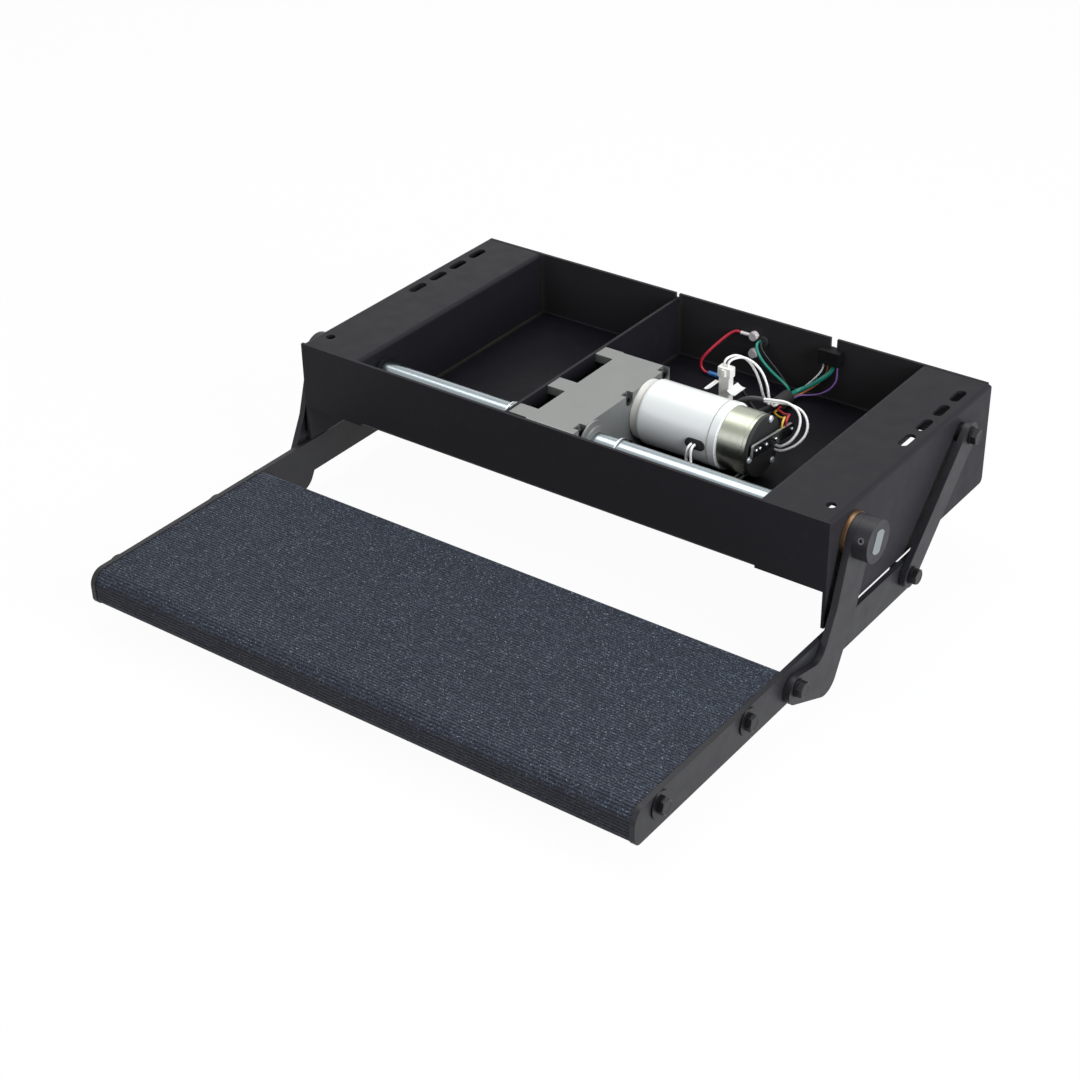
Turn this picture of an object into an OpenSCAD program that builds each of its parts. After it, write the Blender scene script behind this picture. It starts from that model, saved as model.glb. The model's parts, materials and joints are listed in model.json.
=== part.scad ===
// Electric swing-out step for a caravan.
// A tray-shaped housing hangs under the vehicle floor by two flanges. A geared motor turns a cross shaft,
// and two arms on the shaft with two rear links carry the tread out and down, level all the way.
// Frame: millimetres, +X to the right seen from the front, +Y to the back, +Z up.
// The origin is midway between the two front mounting holes, on the top face of the flanges.

/* [Housing] */
// Width over the side plates
housing_w = 560; // [500:5:700]
// Depth from the front plate's face to the back plate's face
housing_d = 288; // [284:1:340]
// Height of the outer side plates
side_h = 101; // [96:1:120]
// Height of the front plate and depth of the tray
tray_h = 66; // [66:0.5:72]
// Thickness of the folded sheet steel
sheet_t = 3; // [2:0.5:4]
// Width of each mounting flange, from the side plate's face to the tray's wall
flange_w = 67.5; // [60:0.5:80]
// Inside radius of the folds
bend_r = 1.5; // [1:0.5:3]
// Radius of the side plates' rear corners
corner_r = 5; // [2:0.5:10]

/* [Mounting holes] */
// Diameter of the front holes and width of the slots
hole_d = 9; // [7:0.5:11]
// Hole centres to the side plate's outer face
hole_inset = 14; // [11:0.5:18]
// Front hole centres to the front plate's face
hole_from_front = 26; // [18:1:34]
// Last slot's centre to the back plate's face
slot_last = 38.5; // [30:0.5:46]
// Slot length, end to end
slot_l = 22.5; // [16:0.5:26]
// Distance between slot centres
slot_pitch = 31.5; // [28:0.5:34]
// Slots in each flange
slot_count = 4; // [2:1:4]

/* [Divider] */
// Divider's centre, left of the middle
divider_x = 50; // [46:0.5:60]
// Divider's top edge below the flange face
divider_drop = 4.5; // [3:0.5:8]

/* [Linkage] */
// Drive shaft axis behind the front holes
shaft_back = 11; // [9:0.5:14]
// Drive shaft axis below the flange face
shaft_drop = 27; // [26:0.5:29]
// How far forward the arm carries its pivot at rest
arm_reach = 95; // [85:1:105]
// How far down the arm carries its pivot at rest
arm_drop = 94; // [88:1:100]
// Rear link's upper pivot behind the shaft axis
link_back = 193; // [180:1:205]
// Rear link's upper pivot above the shaft axis
link_lift = 4.5; // [0:0.5:8]

/* [Drive shaft] */
// Diameter of the drive shaft
shaft_d = 25; // [24:0.5:25]
// Diameter of the shaft's turned-down ends
shaft_end_d = 22; // [20:0.5:24]
// Distance across the two flats of each end
flats_w = 13.5; // [12:0.5:16]
// Shaft end standing out of the hub
shaft_proud = 0.4; // [0.2:0.1:2]
// Radial running clearance of the shaft and the pivots
running_fit = 0.05; // [0.02:0.01:0.08]

/* [Front arms and rear links] */
// Thickness of the front arms and rear links
arm_t = 6; // [5:0.5:8]
// Hub diameter
hub_d = 38; // [36:1:44]
// Length of the right hub, outside the arm
hub_l = 14; // [12:0.5:20]
// Length of the left hub, outside the arm
left_hub_l = 3; // [2:0.5:6]
// Flange thickness of the bronze bushes
bush_flange_t = 4.5; // [3:0.5:6]
// Flange diameter of the bronze bushes
bush_flange_d = 39; // [37:1:44]
// Arm leg's lean from upright
leg_lean = 22; // [18:1:26]
// Arm leg's width
leg_w = 37; // [32:1:40]
// Heel radius
heel_r = 18; // [15:0.5:20]
// Heel centre behind the tread pivot
heel_back = 48; // [42:1:54]
// Heel centre below the tread pivot
heel_down = 18; // [14:0.5:20]
// Toe radius in front of the tread pivot
toe_r = 13; // [11:0.5:15]
// Toe's centre below the tread pivot
toe_down = 2.5; // [0:0.5:4]
// Fillet in the crook of the arm
crook_r = 14; // [8:0.5:18]
// Rear link's width
link_w = 24; // [20:1:28]
// Running gap beside the arms
side_gap = 0.3; // [0.2:0.1:0.5]

/* [Tread] */
// Tread arm's front end ahead of the front plate
tread_out = 282; // [260:0.5:300]
// Tread arm's height
tread_arm_h = 33; // [30:0.5:38]
// Tread arm's thickness
tread_arm_t = 5; // [4:0.5:8]
// Gap between the side plates and the tread arms
tread_gap = 3; // [2:0.5:6]
// Tread arm's rear end behind its rear pivot
tread_arm_tail = 23.5; // [20:0.5:30]
// Tread board's rear edge ahead of the tread pivots
board_clear = 8.5; // [8:0.5:20]
// Rib crests below the arms' top edges
board_drop = 0.5; // [0:0.5:2]
// Thickness of the tread board
board_t = 32; // [29:0.5:34]
// Wall thickness of the tread board
board_wall = 2.5; // [2:0.1:3]
// Radius of the nosing
nose_r = 14; // [8:0.5:15]
// Distance between tread ribs
rib_pitch = 3; // [2.5:0.1:4]
// Height of the tread ribs
rib_h = 0.8; // [0.5:0.1:1.2]
// First tread bolt behind the arm's front end
bolt_first = 33; // [30:0.5:38]
// Distance between the two tread bolts
bolt_span = 124; // [100:1:130]
// Tread bolts below the arm's top edge
bolt_drop = 12; // [11:0.5:16]

/* [Fasteners] */
// Shank diameter of the bolts
bolt_d = 8; // [6:1:8]
// Distance across the flats of the bolt heads
head_af = 13; // [10:0.5:14]
// Height of the bolt heads
head_h = 5.3; // [4:0.1:7]
// Diameter of the washers
washer_d = 16; // [14:0.5:17]
// Diameter of the wide washers under the tread bolts
tread_washer_d = 24; // [18:0.5:26]
// Thickness of the washers
washer_t = 1.6; // [1:0.1:2]
// Height of the nuts
nut_h = 6.5; // [4:0.5:8]

/* [Gear case] */
// Case top below the flange face
case_drop = 5; // [4.5:0.5:6]
// Case front behind the front plate's inner face
case_front_gap = 7; // [5:0.5:8]
// Depth of the case, front to back
case_d = 152; // [150:1:160]
// Left face of the casting, left of the middle
case_left = 29; // [28:0.5:32]
// Right face of the end cover, right of the middle
case_right = 22; // [21:0.5:26]
// Thickness of the end cover
cover_t = 10; // [9:0.5:11]
// Wall thickness of the casting
case_wall = 4; // [3.5:0.1:4.2]
// Thickness of the three lugs that reach the divider
lug_t = 8; // [6:0.5:9]
// Radius of the shaft boss on the end cover
boss_r = 22; // [20:0.5:22]
// Crank and lever radius
crank_r = 20; // [19.5:0.1:20.5]

/* [Motor] */
// Motor axis behind the drive shaft
motor_back = 88; // [86:0.5:90]
// Radius of the motor can
motor_r = 31; // [30:0.5:31]
// Motor can above the tray floor
motor_clear = 0.5; // [0.3:0.1:1]
// Length of the white can
can_l = 84; // [80:1:92]
// Length of the plated end section
plated_l = 28; // [22:1:30]
// Radius of the plated end section
plated_r = 28.7; // [26:0.1:29]
// Thickness of the motor flange between case and can
motor_flange_t = 7; // [5:0.5:9]

/* [Hidden] */
$fn = 64;
// Planes of the housing
half_w = housing_w / 2;
front_y = -hole_from_front;
back_y = front_y + housing_d;
inner_x = half_w - flange_w;
floor_top = sheet_t - tray_h;
fit = 0.05;
hair = 0.999;
// Pivots as [y, z]: shaft, tread pivot on the arm, upper and lower pivot of the rear link
shaft_p = [shaft_back, -shaft_drop];
arm_v = [-arm_reach, -arm_drop];
tread_p = shaft_p + arm_v;
link_top = shaft_p + [link_back, link_lift];
link_low = link_top + arm_v;
shaft_r = shaft_d / 2;
// Side planes, outwards from the side plate
arm_x = half_w + bush_flange_t + side_gap;
hub_x = arm_x + arm_t;
tread_arm_x = arm_x - side_gap - 0.2;
board_x = tread_arm_x - tread_arm_t;
hub_r = hub_d / 2;
bolt_r = bolt_d / 2;
// Tread levels and ends
arm_top = -side_h - tread_gap;
tread_front = front_y - tread_out;
tread_arm_rear = link_low[0] + tread_arm_tail;
board_top = arm_top - board_drop;
board_front = tread_front + 0.4;
board_rear = tread_p[0] - board_clear;
board_d = board_rear - board_front;
bolt_y = [tread_front + bolt_first, tread_front + bolt_first + bolt_span];
bolt_z = arm_top - bolt_drop;
bolt_bite = 20;
// Corners of the tread arm: toe, lower rear, upper rear and nose
tread_arm_corners = [8, 16, 5, 14];
// Solid parts of the board: behind the nosing's face, each side of a bolt, and its middle web
nose_wall = 9;
bolt_wall = 10;
mid_web = 2.5;
// Slotted flange
slot_y = [for (i = [0 : slot_count - 1]) back_y - slot_last - i * slot_pitch];
hole_x = half_w - hole_inset;
// Bushes
bush_r = shaft_r + 3.5;
wall_bush_r = shaft_r + 2.5;
wall_bush_l = 3;
wall_bush_rim = 1.5;
// Gear case
case_top = -case_drop;
case_front = front_y + sheet_t + case_front_gap;
case_rear = case_front + case_d;
cover_x = case_right - cover_t;
room_bottom = floor_top + case_wall + 0.5;
room_top = case_top - case_wall - 0.5;
lug_reach = divider_x - sheet_t / 2;
lug_bands = [[case_front + 2, 18], [case_front + 60, 19], [case_rear - 17, 16.5]];
screw_r = 2.5;
screw_head_r = 4.3;
screw_head_l = 5;
screw_bite = 12;
screw_rows = [for (share = [0.092, 0.572, 0.954]) case_front + share * case_d];
screw_levels = [case_top - 6, floor_top + 6];
case_bolt_r = 3;
case_bolt_bite = 3.4;
case_bolt_head = 4;
case_bolt_spots = [for (x = [-17, 4], y = [case_front + 12, case_rear - 26]) [x, y]];
// Crank drive inside the case
motor_p = [shaft_back + motor_back, floor_top + motor_clear + motor_r];
lever_angle = -62.5;
lever_v = crank_r * [cos(lever_angle), sin(lever_angle)];
lever_p = shaft_p + lever_v;
crank_p = motor_p + lever_v;
pin_r = 4;
rod_r = 6;
output_r = 7;
output_bite = 16;
web_x = cover_x - 14;
web_t = 10;
rod_x = web_x - 0.4;
rod_t = 6.8;
lever_x = rod_x - rod_t - side_gap;
lever_t = 8.5;
// Motor, left to right
can_x = case_right + motor_flange_t;
plated_x = can_x + can_l;
cap_x = plated_x + plated_l;
cap_t = 3.5;
cap_face = cap_x + cap_t;
cap_screw_ring = plated_r - 3.6;
cap_screw_angles = [68, 184, 306];
board_stand = 3;
term_x = cap_face + board_stand;
term_t = 2.4;
term_l = 70;
term_h = 11.5;
term_tilt = -6;
term_c = motor_p + [8, 4.5];
term_posts = [-17, 7];
rivet_spots = [-30, -24, -13, 3, 31];
grommet_l = 20;
grommet_h = 10;
grommet_x = can_x + 64;
grommet_t = 1.3;
// Wiring is drawn for a back plate at this distance; beyond the motor it moves with the back plate
wall_y = back_y - sheet_t;
drawn_wall = 259;
stretch_y = [135, 205];
aft = wall_y - drawn_wall;
function aft_y(y) = y + aft * min(max((y - stretch_y[0]) / (stretch_y[1] - stretch_y[0]), 0), 1);
function aft_route(route) = [for (p = route) [p[0], aft_y(p[1]), p[2]]];
// Wiring posts on the walls and the floor, as [x, z] or [y, z]
earth_spots = [[38, -20], [38, -38]];
wall_grommet_p = [48, -23];
wall_grommet_r = 5;
loom_p = [122, -16];
loom_w = 22;
loom_h = 15;
loom_in = 9;
loom_notch = 7;
wrap_r = 7;
wrap_front = 210;
wrap_rear = 230;
wrap_p = [93, floor_top + wrap_r];
plug_p = [59, aft_y(174)];
plug_top = -10.5;
plug_split = -20;
plug_low = -50;
plug_w = 14;
plug_d = 9;
crimp_r = 2.4;
crimp_x = [2, 20];
crimp_p = [aft_y(236), floor_top + crimp_r];
// Wire sizes
lead_r = 1.2;
thin_r = 0.8;
cable_r = 2.2;
sleeve_cable_r = 2.6;
board_lead_r = 1;
lug_t_ring = 1.6;
lug_ring_r = 4.8;
lug_barrel_x = 24;
lug_barrel_r = 1.8;
lead_x = [90, 93.5];
can_skin = motor_r - 0.6;
lead_y = motor_p[0] - can_skin - 0.1;
loom_under = loom_p[1] - loom_h / 2;
lug_y = drawn_wall - lug_barrel_r - 0.1;
grommet_y = drawn_wall - 3;
board_lead_x = term_x + term_t / 2;
// Routes of the wires, ends square to what they meet
motor_lead_a = [[90, lead_y, -31.5], [90, 65.5, -31.5], [89.8, 62.2, -33], [89.4, 60.8, -37],
    [89, 60.6, -44], [90, 60, -52], [95, 58.8, -58.6], [104, 58.5, -61.3], [113, 60.5, -61.6],
    [121, 67, -61.6], [125, 80, -61.6], [126, 99, -61.6], [123, 123, -61.6], [113, 144, -61.6],
    [96, 158, -61.4], [78, 167, -61.2], [64, 171.5, -60], [58, 173.5, -56], [57, 174, -53],
    [57, 174, plug_low]];
motor_lead_b = [[93.5, lead_y, -31.5], [93.5, 65, -31.5], [93.8, 61.4, -33], [94.4, 59.4, -37],
    [95.4, 58.4, -44], [98.2, 56.6, -52], [104, 54.2, -58.6], [112.5, 53.5, -61.3], [121, 56.5, -61.6],
    [127.5, 64, -61.6], [130.5, 78, -61.6], [131, 99, -61.6], [128, 127, -61.6], [117, 149, -61.6],
    [99, 163.5, -61.4], [81, 172.5, -61.2], [68, 176.5, -60], [62.5, 175, -56.4], [61, 174, -53],
    [61, 174, plug_low]];
plug_lead_a = [[57, 174, plug_top], [57, 174, -6.5], [58.5, 177, -3], [63, 184, -2.2], [71, 189, -6],
    [79, 190, -14], [86, 189, -25], [90, 189, -37], [91, 195, -47.5], [90.8, 203, -52.2],
    [90.8, wrap_front, -52.2]];
plug_lead_b = [[61, 174, plug_top], [61, 174, -6.5], [63.5, 177, -3], [70, 184, -2.2], [79, 188, -6.5],
    [88, 188.5, -14], [95, 187, -25], [97.5, 187, -37], [97, 194, -47.5], [95.5, 203, -52.5],
    [95.5, wrap_front, -52.5]];
earth_lead = [[46, grommet_y, -23], [46, 250, -23], [49, 245.5, -27.5], [56, 244, -35.5], [66, 244.5, -44],
    [77, 244.5, -50.5], [86, 241.5, -54], [90, 236, -54], [90, wrap_rear, -54]];
wall_lead = [[50, grommet_y, -22], [50, 250.5, -22], [54, 247.5, -27], [62, 248, -36], [71, 249, -45],
    [79.5, 248, -53], [86, 243, -57.5], [88.5, 236.5, -57.5], [88.5, wrap_rear, -57.5]];
loom_cable_route = [[125, 254.5, loom_under], [125, 254.5, -28], [121.5, 252.4, -34], [114.5, 249.2, -41],
    [107, 247, -47.6], [100.5, 244.6, -51.8], [96.6, 240.5, -53.7], [95.5, 235.5, -54],
    [95.5, wrap_rear, -54]];
red_route = [[lug_barrel_x, lug_y, -20], [18.5, lug_y, -20], [12.5, 254.6, -23.6], [6, 248.6, -30.6],
    [-0.5, 241.5, -39], [-5.8, 237, -47.5], [-7, 236, -54], [-5.2, 236, -58], [-1.8, 236, -60.6],
    [2, 236, -60.6]];
return_route = [[20, 236, -60.6], [26, 236, -60.6], [34, 233, -61], [47, 225, -61.5], [60, 214, -61.6],
    [71, 204, -61.6], [80.5, 198, -61.5], [88, 198.5, -61.4], [91.5, 203.5, -61.3],
    [91.5, wrap_front, -61.3]];
sleeved_route = [[89, wrap_front, -56.8], [89, 202, -56.8], [86.5, 191, -56], [84, 178, -54.5],
    [83, 165, -51], [84, 153, -42], [88, 144.5, -30], [95, 140.5, -20.5], [105, 141.5, -15], [117, 144, -14]];
cap_lead_a = [[117, 143.5, -12.75], [126.6, 145.5, -11.95], [138, 148, -12], [149, 147, -15.5],
    [156, 141.5, -21], [158.5, 133.5, -28], [156.5, 125.5, -34.5], [151.5, 120.5, -38.5],
    [148.5, 119.5, -39.5], [cap_face, 119.5, -39.5]];
cap_lead_b = [[117, 144.5, -15.25], [126.6, 146.5, -14.45], [140, 150.5, -14.5], [152.5, 150.5, -17.5],
    [161.5, 145, -24], [164.5, 136.5, -31.5], [161, 127.5, -38], [154, 120.5, -42],
    [149, 118.5, -43.2], [cap_face, 118.5, -43.2]];
red_board_lead = [[97.5, wrap_front, -56.5], [97.5, 204, -56.5], [106, 196, -53], [116, 182, -45],
    [127, 167.5, -36], [138, 152.5, -26], [145.5, 140.5, -18.6], [148.2, 133, -16.9],
    [board_lead_x, 129.4, -19.2], [board_lead_x, 129, -23.5]];
yellow_board_lead = [[95, wrap_front, -60], [95, 203, -60], [103.5, 193, -56], [113.5, 179, -48],
    [124.5, 164.5, -39], [135.5, 149.5, -29], [143.5, 136.5, -19.8], [147.5, 127, -16.4],
    [board_lead_x, 122.6, -18.6], [board_lead_x, 122, -23]];
white_signal = [[115, 254, loom_under], [115, 254, -29.5], [111.5, 253, -37], [106.5, 252, -44],
    [100.5, 250, -51], [95, 245.5, -57], [92.5, 238.5, -58.5], [92.5, wrap_rear, -58.5]];
orange_signal = [[119, 256, loom_under], [119, 256, -30], [116.5, 256, -38], [112, 255.5, -46],
    [105.5, 253.5, -53], [99, 248, -58], [95.5, 239.5, -59], [95.5, wrap_rear, -59]];
purple_signal = [[130, 254, loom_under], [130, 254, -30], [130.5, 252, -38], [126.5, 249, -46],
    [118.5, 247, -52.5], [109, 245.5, -56.5], [101, 242, -57.5], [98, 236, -57.5], [98, wrap_rear, -57.5]];

// Places a drawing of [y, z] between two x planes.
module along_x(x0, x1) {
    translate([x0, 0, 0]) rotate([90, 0, 90]) linear_extrude(x1 - x0) children();
}

// Places a drawing of [x, z] between two y planes.
module along_y(y0, y1) {
    translate([0, y1, 0]) rotate([90, 0, 0]) linear_extrude(y1 - y0) children();
}

// A round bar along X at p = [y, z].
module bar_x(x0, x1, r, p) {
    translate([x0, p[0], p[1]]) rotate([0, 90, 0]) cylinder(h = x1 - x0, r = r);
}

// A round bar along Y at p = [x, z].
module bar_y(y0, y1, r, p) {
    translate([p[0], y1, p[1]]) rotate([90, 0, 0]) cylinder(h = y1 - y0, r = r);
}

// A six-sided bar along X at p = [y, z].
module hex_x(x0, x1, across, p) {
    translate([x0, p[0], p[1]]) rotate([0, 90, 0]) cylinder(h = x1 - x0, d = across / cos(30), $fn = 6);
}

// The same thing on the right and on the left.
module both_sides() {
    children();
    mirror([1, 0, 0]) children();
}

// Two discs and the straight edges that touch both, drawn a hair inside so that they cross the discs cleanly.
module slug(p, r, q, s) {
    d = q - p;
    aim = atan2(d[1], d[0]);
    lean = acos((r - s) / norm(d));
    up = hair * [cos(aim + lean), sin(aim + lean)];
    down = hair * [cos(aim - lean), sin(aim - lean)];
    translate(p) circle(r);
    translate(q) circle(s);
    polygon([p + r * down, q + s * down, q + s * up, p + r * up]);
}

// A rectangle with its own radius at each corner: low left, low right, high right, high left.
module rounded_box(x0, x1, z0, z1, radii) {
    spots = [[x0 + radii[0], z0 + radii[0]], [x1 - radii[1], z0 + radii[1]],
        [x1 - radii[2], z1 - radii[2]], [x0 + radii[3], z1 - radii[3]]];
    for (i = [0 : 3]) translate(spots[i]) circle(radii[i]);
    polygon([[x0 + radii[0], z0], [x1 - radii[1], z0], [x1, z0 + radii[1]], [x1, z1 - radii[2]],
        [x1 - radii[2], z1], [x0 + radii[3], z1], [x0, z1 - radii[3]], [x0, z0 + radii[0]]]);
}

// Points on one smooth curve through a route's own points.
function route_at(r, i, t) = let (
    a = r[max(i - 1, 0)], b = r[i], c = r[i + 1], d = r[min(i + 2, len(r) - 1)])
    0.5 * (2 * b + (c - a) * t + (2 * a - 5 * b + 4 * c - d) * t * t + (3 * b - a - 3 * c + d) * t * t * t);
function smooth_route(r, steps) = concat(
    [for (i = [0 : len(r) - 2], k = [0 : steps - 1]) route_at(r, i, k / steps)], [r[len(r) - 1]]);
function unit(v) = v / norm(v);
// Direction of the curve at each of its points, square to what it meets at both ends.
function headings(p, r) = [for (i = [0 : len(p) - 1])
    i == 0 ? unit(r[1] - r[0]) :
    i == len(p) - 1 ? unit(r[len(r) - 1] - r[len(r) - 2]) : unit(p[i + 1] - p[i - 1])];
// A side direction carried along the curve without twist.
function carried(t, i) = i == 0
    ? unit(cross(t[0], abs(t[0][2]) > 0.8 ? [1, 0, 0] : [0, 0, 1]))
    : let (u = carried(t, i - 1)) unit(u - (u * t[i]) * t[i]);

// A round wire of radius r swept along a drawn route.
module wire(route, r, steps = 2, sides = 8) {
    path = aft_route(route);
    p = smooth_route(path, steps);
    t = headings(p, path);
    n = len(p);
    rings = [for (i = [0 : n - 1]) let (u = carried(t, i), v = cross(t[i], u))
        for (k = [0 : sides - 1]) p[i] + r * (cos(k * 360 / sides) * u + sin(k * 360 / sides) * v)];
    walls = [for (i = [0 : n - 2], k = [0 : sides - 1])
        let (a = i * sides + k, b = i * sides + (k + 1) % sides)
        each [[a, a + sides, b + sides], [a, b + sides, b]]];
    ends = [for (k = [1 : sides - 2]) each [[0, k, k + 1],
        [(n - 1) * sides, (n - 1) * sides + k + 1, (n - 1) * sides + k]]];
    polyhedron(rings, concat(walls, ends));
}

// Hex bolt along X with its head at the high end, for the right-hand side.
module bolt_x(under_head, tip, p) {
    bar_x(tip, under_head + 0.1, bolt_r, p);
    hex_x(under_head, under_head + head_h, head_af, p);
}

module washer_x(x0, p, d = washer_d) {
    difference() {
        bar_x(x0, x0 + washer_t, d / 2, p);
        bar_x(x0 - 1, x0 + washer_t + 1, bolt_r + fit, p);
    }
}

module nut_x(x0, p) {
    difference() {
        hex_x(x0, x0 + nut_h, head_af, p);
        bar_x(x0 - 1, x0 + nut_h + 1, bolt_r + fit, p);
    }
}

// Housing

// Folded sheet seen from the side: front plate, floor and back plate.
module tray_section() {
    difference() {
        rounded_box(front_y, back_y, -tray_h, 0,
            [bend_r + sheet_t, bend_r + sheet_t, 0.1, 0.1]);
        rounded_box(front_y + sheet_t, back_y - sheet_t, floor_top, 1, [bend_r, bend_r, 0.1, 0.1]);
    }
}

module tray() {
    color("#26262a") difference() {
        union() {
            along_x(-inner_x, inner_x) tray_section();
            both_sides() {
                translate([inner_x, front_y, -tray_h]) cube([flange_w, sheet_t, tray_h]);
                translate([inner_x, wall_y, -tray_h]) cube([flange_w - sheet_t, sheet_t, tray_h]);
            }
        }
        translate([-divider_x - 2, wall_y - 1, -divider_drop - 4]) cube([4, sheet_t + 2, 20]);
        translate([loom_p[0] - loom_notch / 2, wall_y - 1, -9.5]) cube([loom_notch, sheet_t + 2, 20]);
        translate([loom_p[0] - loom_w / 2 + 2, wall_y - 1, loom_p[1] - loom_h / 2 + 2])
            cube([loom_w - 4, sheet_t + 2, loom_h - 5]);
        for (p = earth_spots) bar_y(wall_y - 1, back_y + 1, 2.5 + fit, p);
        bar_y(wall_y - 1, back_y + 1, 4 + fit, wall_grommet_p);
        for (p = case_bolt_spots) translate([p[0], p[1], -tray_h - 1])
            cylinder(h = sheet_t + 2, r = case_bolt_r + fit);
    }
}

// Inverted U of a side channel seen from the front: flange, outer plate and inner wall.
module channel_section() {
    difference() {
        rounded_box(inner_x, half_w, -side_h, 0, [0.1, 0.1, bend_r + sheet_t, bend_r + sheet_t]);
        rounded_box(inner_x + sheet_t, half_w - sheet_t, -side_h - 1, -sheet_t, [0.1, 0.1, bend_r, bend_r]);
        translate([inner_x - 1, -side_h - 2]) square([sheet_t + 2, side_h - tray_h + 2]);
    }
}

// Outline of the outer side plate: stepped round the front plate, round at the rear corners.
module side_outline() {
    difference() {
        rounded_box(front_y, back_y, -side_h - 0.1, 0.1, [0.1, corner_r, corner_r, 0.1]);
        translate([front_y - 1, -tray_h]) square([sheet_t + 1, tray_h + 1]);
    }
}

module channel() {
    difference() {
        intersection() {
            along_y(front_y, back_y) channel_section();
            along_x(inner_x - 1, half_w + 1) side_outline();
        }
        for (y = [front_y - 1, wall_y]) translate([inner_x - 1, y, -side_h - 1])
            cube([flange_w - sheet_t + 1, sheet_t + 1, side_h + 2]);
        bar_x(half_w - sheet_t - 1, half_w + 1, bush_r + fit, shaft_p);
        bar_x(inner_x - 1, inner_x + sheet_t + 1, wall_bush_r + fit, shaft_p);
        bar_x(half_w - sheet_t - 1, half_w + 1, bolt_r + fit, link_top);
        translate([hole_x, 0, -sheet_t - 1]) cylinder(h = sheet_t + 2, d = hole_d);
        for (y = slot_y) translate([hole_x, y, -sheet_t - 1]) linear_extrude(sheet_t + 2) flange_slot();
    }
}

// One slot of the flange, long from front to back.
module flange_slot() {
    straight = slot_l - hole_d;
    for (s = [-0.5, 0.5]) translate([0, s * straight]) circle(hole_d / 2);
    square([hole_d, straight], center = true);
}

module right_channel() {
    color("#2c2c30") channel();
}

module left_channel() {
    color("#2c2c30") mirror([1, 0, 0]) channel();
}

// Upright plate between the two bays, tabbed into the back plate and cleared round the shaft.
module divider() {
    color("#2a2a2e") translate([-divider_x, 0, 0]) difference() {
        union() {
            along_x(-sheet_t / 2, sheet_t / 2) polygon([
                [front_y + sheet_t, floor_top + bend_r], [front_y + sheet_t + bend_r, floor_top],
                [wall_y - bend_r, floor_top], [wall_y, floor_top + bend_r],
                [wall_y, -divider_drop], [front_y + sheet_t, -divider_drop]]);
            translate([-sheet_t / 2, wall_y - 0.1, -divider_drop - 3.8]) cube([sheet_t, sheet_t, 3.8]);
        }
        bar_x(-sheet_t, sheet_t, shaft_r + 3, shaft_p);
    }
}

// Flanged bearing of the shaft in each side plate.
module bronze_bushes() {
    color("#b08a4e") both_sides() difference() {
        union() {
            bar_x(half_w - sheet_t - 6, half_w + 0.1, bush_r, shaft_p);
            bar_x(half_w, half_w + bush_flange_t, bush_flange_d / 2, shaft_p);
        }
        bar_x(half_w - 30, half_w + 30, shaft_r + running_fit, shaft_p);
    }
}

// Short plastic bearing of the shaft in each inner wall.
module wall_bushes() {
    color("#1c1c1e") both_sides() difference() {
        union() {
            bar_x(inner_x - wall_bush_l, inner_x + sheet_t, wall_bush_r, shaft_p);
            bar_x(inner_x - wall_bush_l, inner_x, wall_bush_r + wall_bush_rim, shaft_p);
        }
        bar_x(inner_x - wall_bush_l - 1, inner_x + sheet_t + 1, shaft_r + running_fit, shaft_p);
    }
}

// Gear case

// The case seen from the side, with slightly rounded edges.
module case_section() {
    rounded_box(case_front, case_rear, floor_top, case_top, [2, 2, 2, 2]);
}

module gear_case() {
    color("#a9a9a5") difference() {
        union() {
            along_x(-case_left, cover_x) case_section();
            for (b = lug_bands) translate([-lug_reach, b[0], case_top - lug_t])
                cube([lug_reach - case_left + 1, b[1], lug_t]);
            bar_x(-case_left - 4, -case_left + 1, shaft_r + 5, shaft_p);
        }
        difference() {
            along_x(-case_left + case_wall, cover_x + 1) rounded_box(case_front + case_wall,
                case_rear - case_wall, room_bottom, room_top, [4, 4, 4, 4]);
            for (y = screw_rows, z = screw_levels)
                bar_x(cover_x - screw_bite, cover_x, screw_r + 2.6, [y, z]);
        }
        bar_x(-case_left - 6, -case_left + case_wall + 1, shaft_r + running_fit, shaft_p);
        for (y = screw_rows, z = screw_levels)
            bar_x(cover_x - screw_bite + 1, cover_x + 1, screw_r + fit, [y, z]);
        for (p = case_bolt_spots) translate([p[0], p[1], floor_top - 1])
            cylinder(h = case_bolt_bite + 1.2, r = case_bolt_r + fit);
    }
}

// End cover with the shaft boss, the motor seat and open pockets for the screw heads.
module case_cover() {
    color("#b3b3af") difference() {
        union() {
            along_x(cover_x, case_right) case_section();
            bar_x(case_right - 1, case_right + 2.5, boss_r, shaft_p);
            bar_x(case_right, case_right + 6, shaft_r + 5.5, shaft_p);
        }
        bar_x(cover_x - 1, case_right + 7, shaft_r + running_fit, shaft_p);
        bar_x(cover_x - 1, case_right + 1, output_r + running_fit, motor_p);
        for (y = screw_rows, z = screw_levels) {
            bar_x(cover_x - 1, case_right + 1, screw_r + fit, [y, z]);
            bar_x(case_right - screw_head_l - 1, case_right + 1, screw_head_r + 1, [y, z]);
            upper = z > -shaft_drop;
            translate([case_right - screw_head_l - 1, y - screw_head_r - 1, upper ? z : floor_top - 1])
                cube([screw_head_l + 2, 2 * screw_head_r + 2, upper ? 1 - z : z - floor_top + 1]);
        }
    }
}

// Socket-head screws of the end cover.
module cover_screws() {
    color("#2b2b2d") for (y = screw_rows, z = screw_levels) difference() {
        union() {
            bar_x(cover_x - screw_bite + 1.5, case_right - screw_head_l - 1, screw_r, [y, z]);
            bar_x(case_right - screw_head_l - 1, case_right - 1, screw_head_r, [y, z]);
        }
        hex_x(case_right - 3.5, case_right, 4, [y, z]);
    }
}

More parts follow.
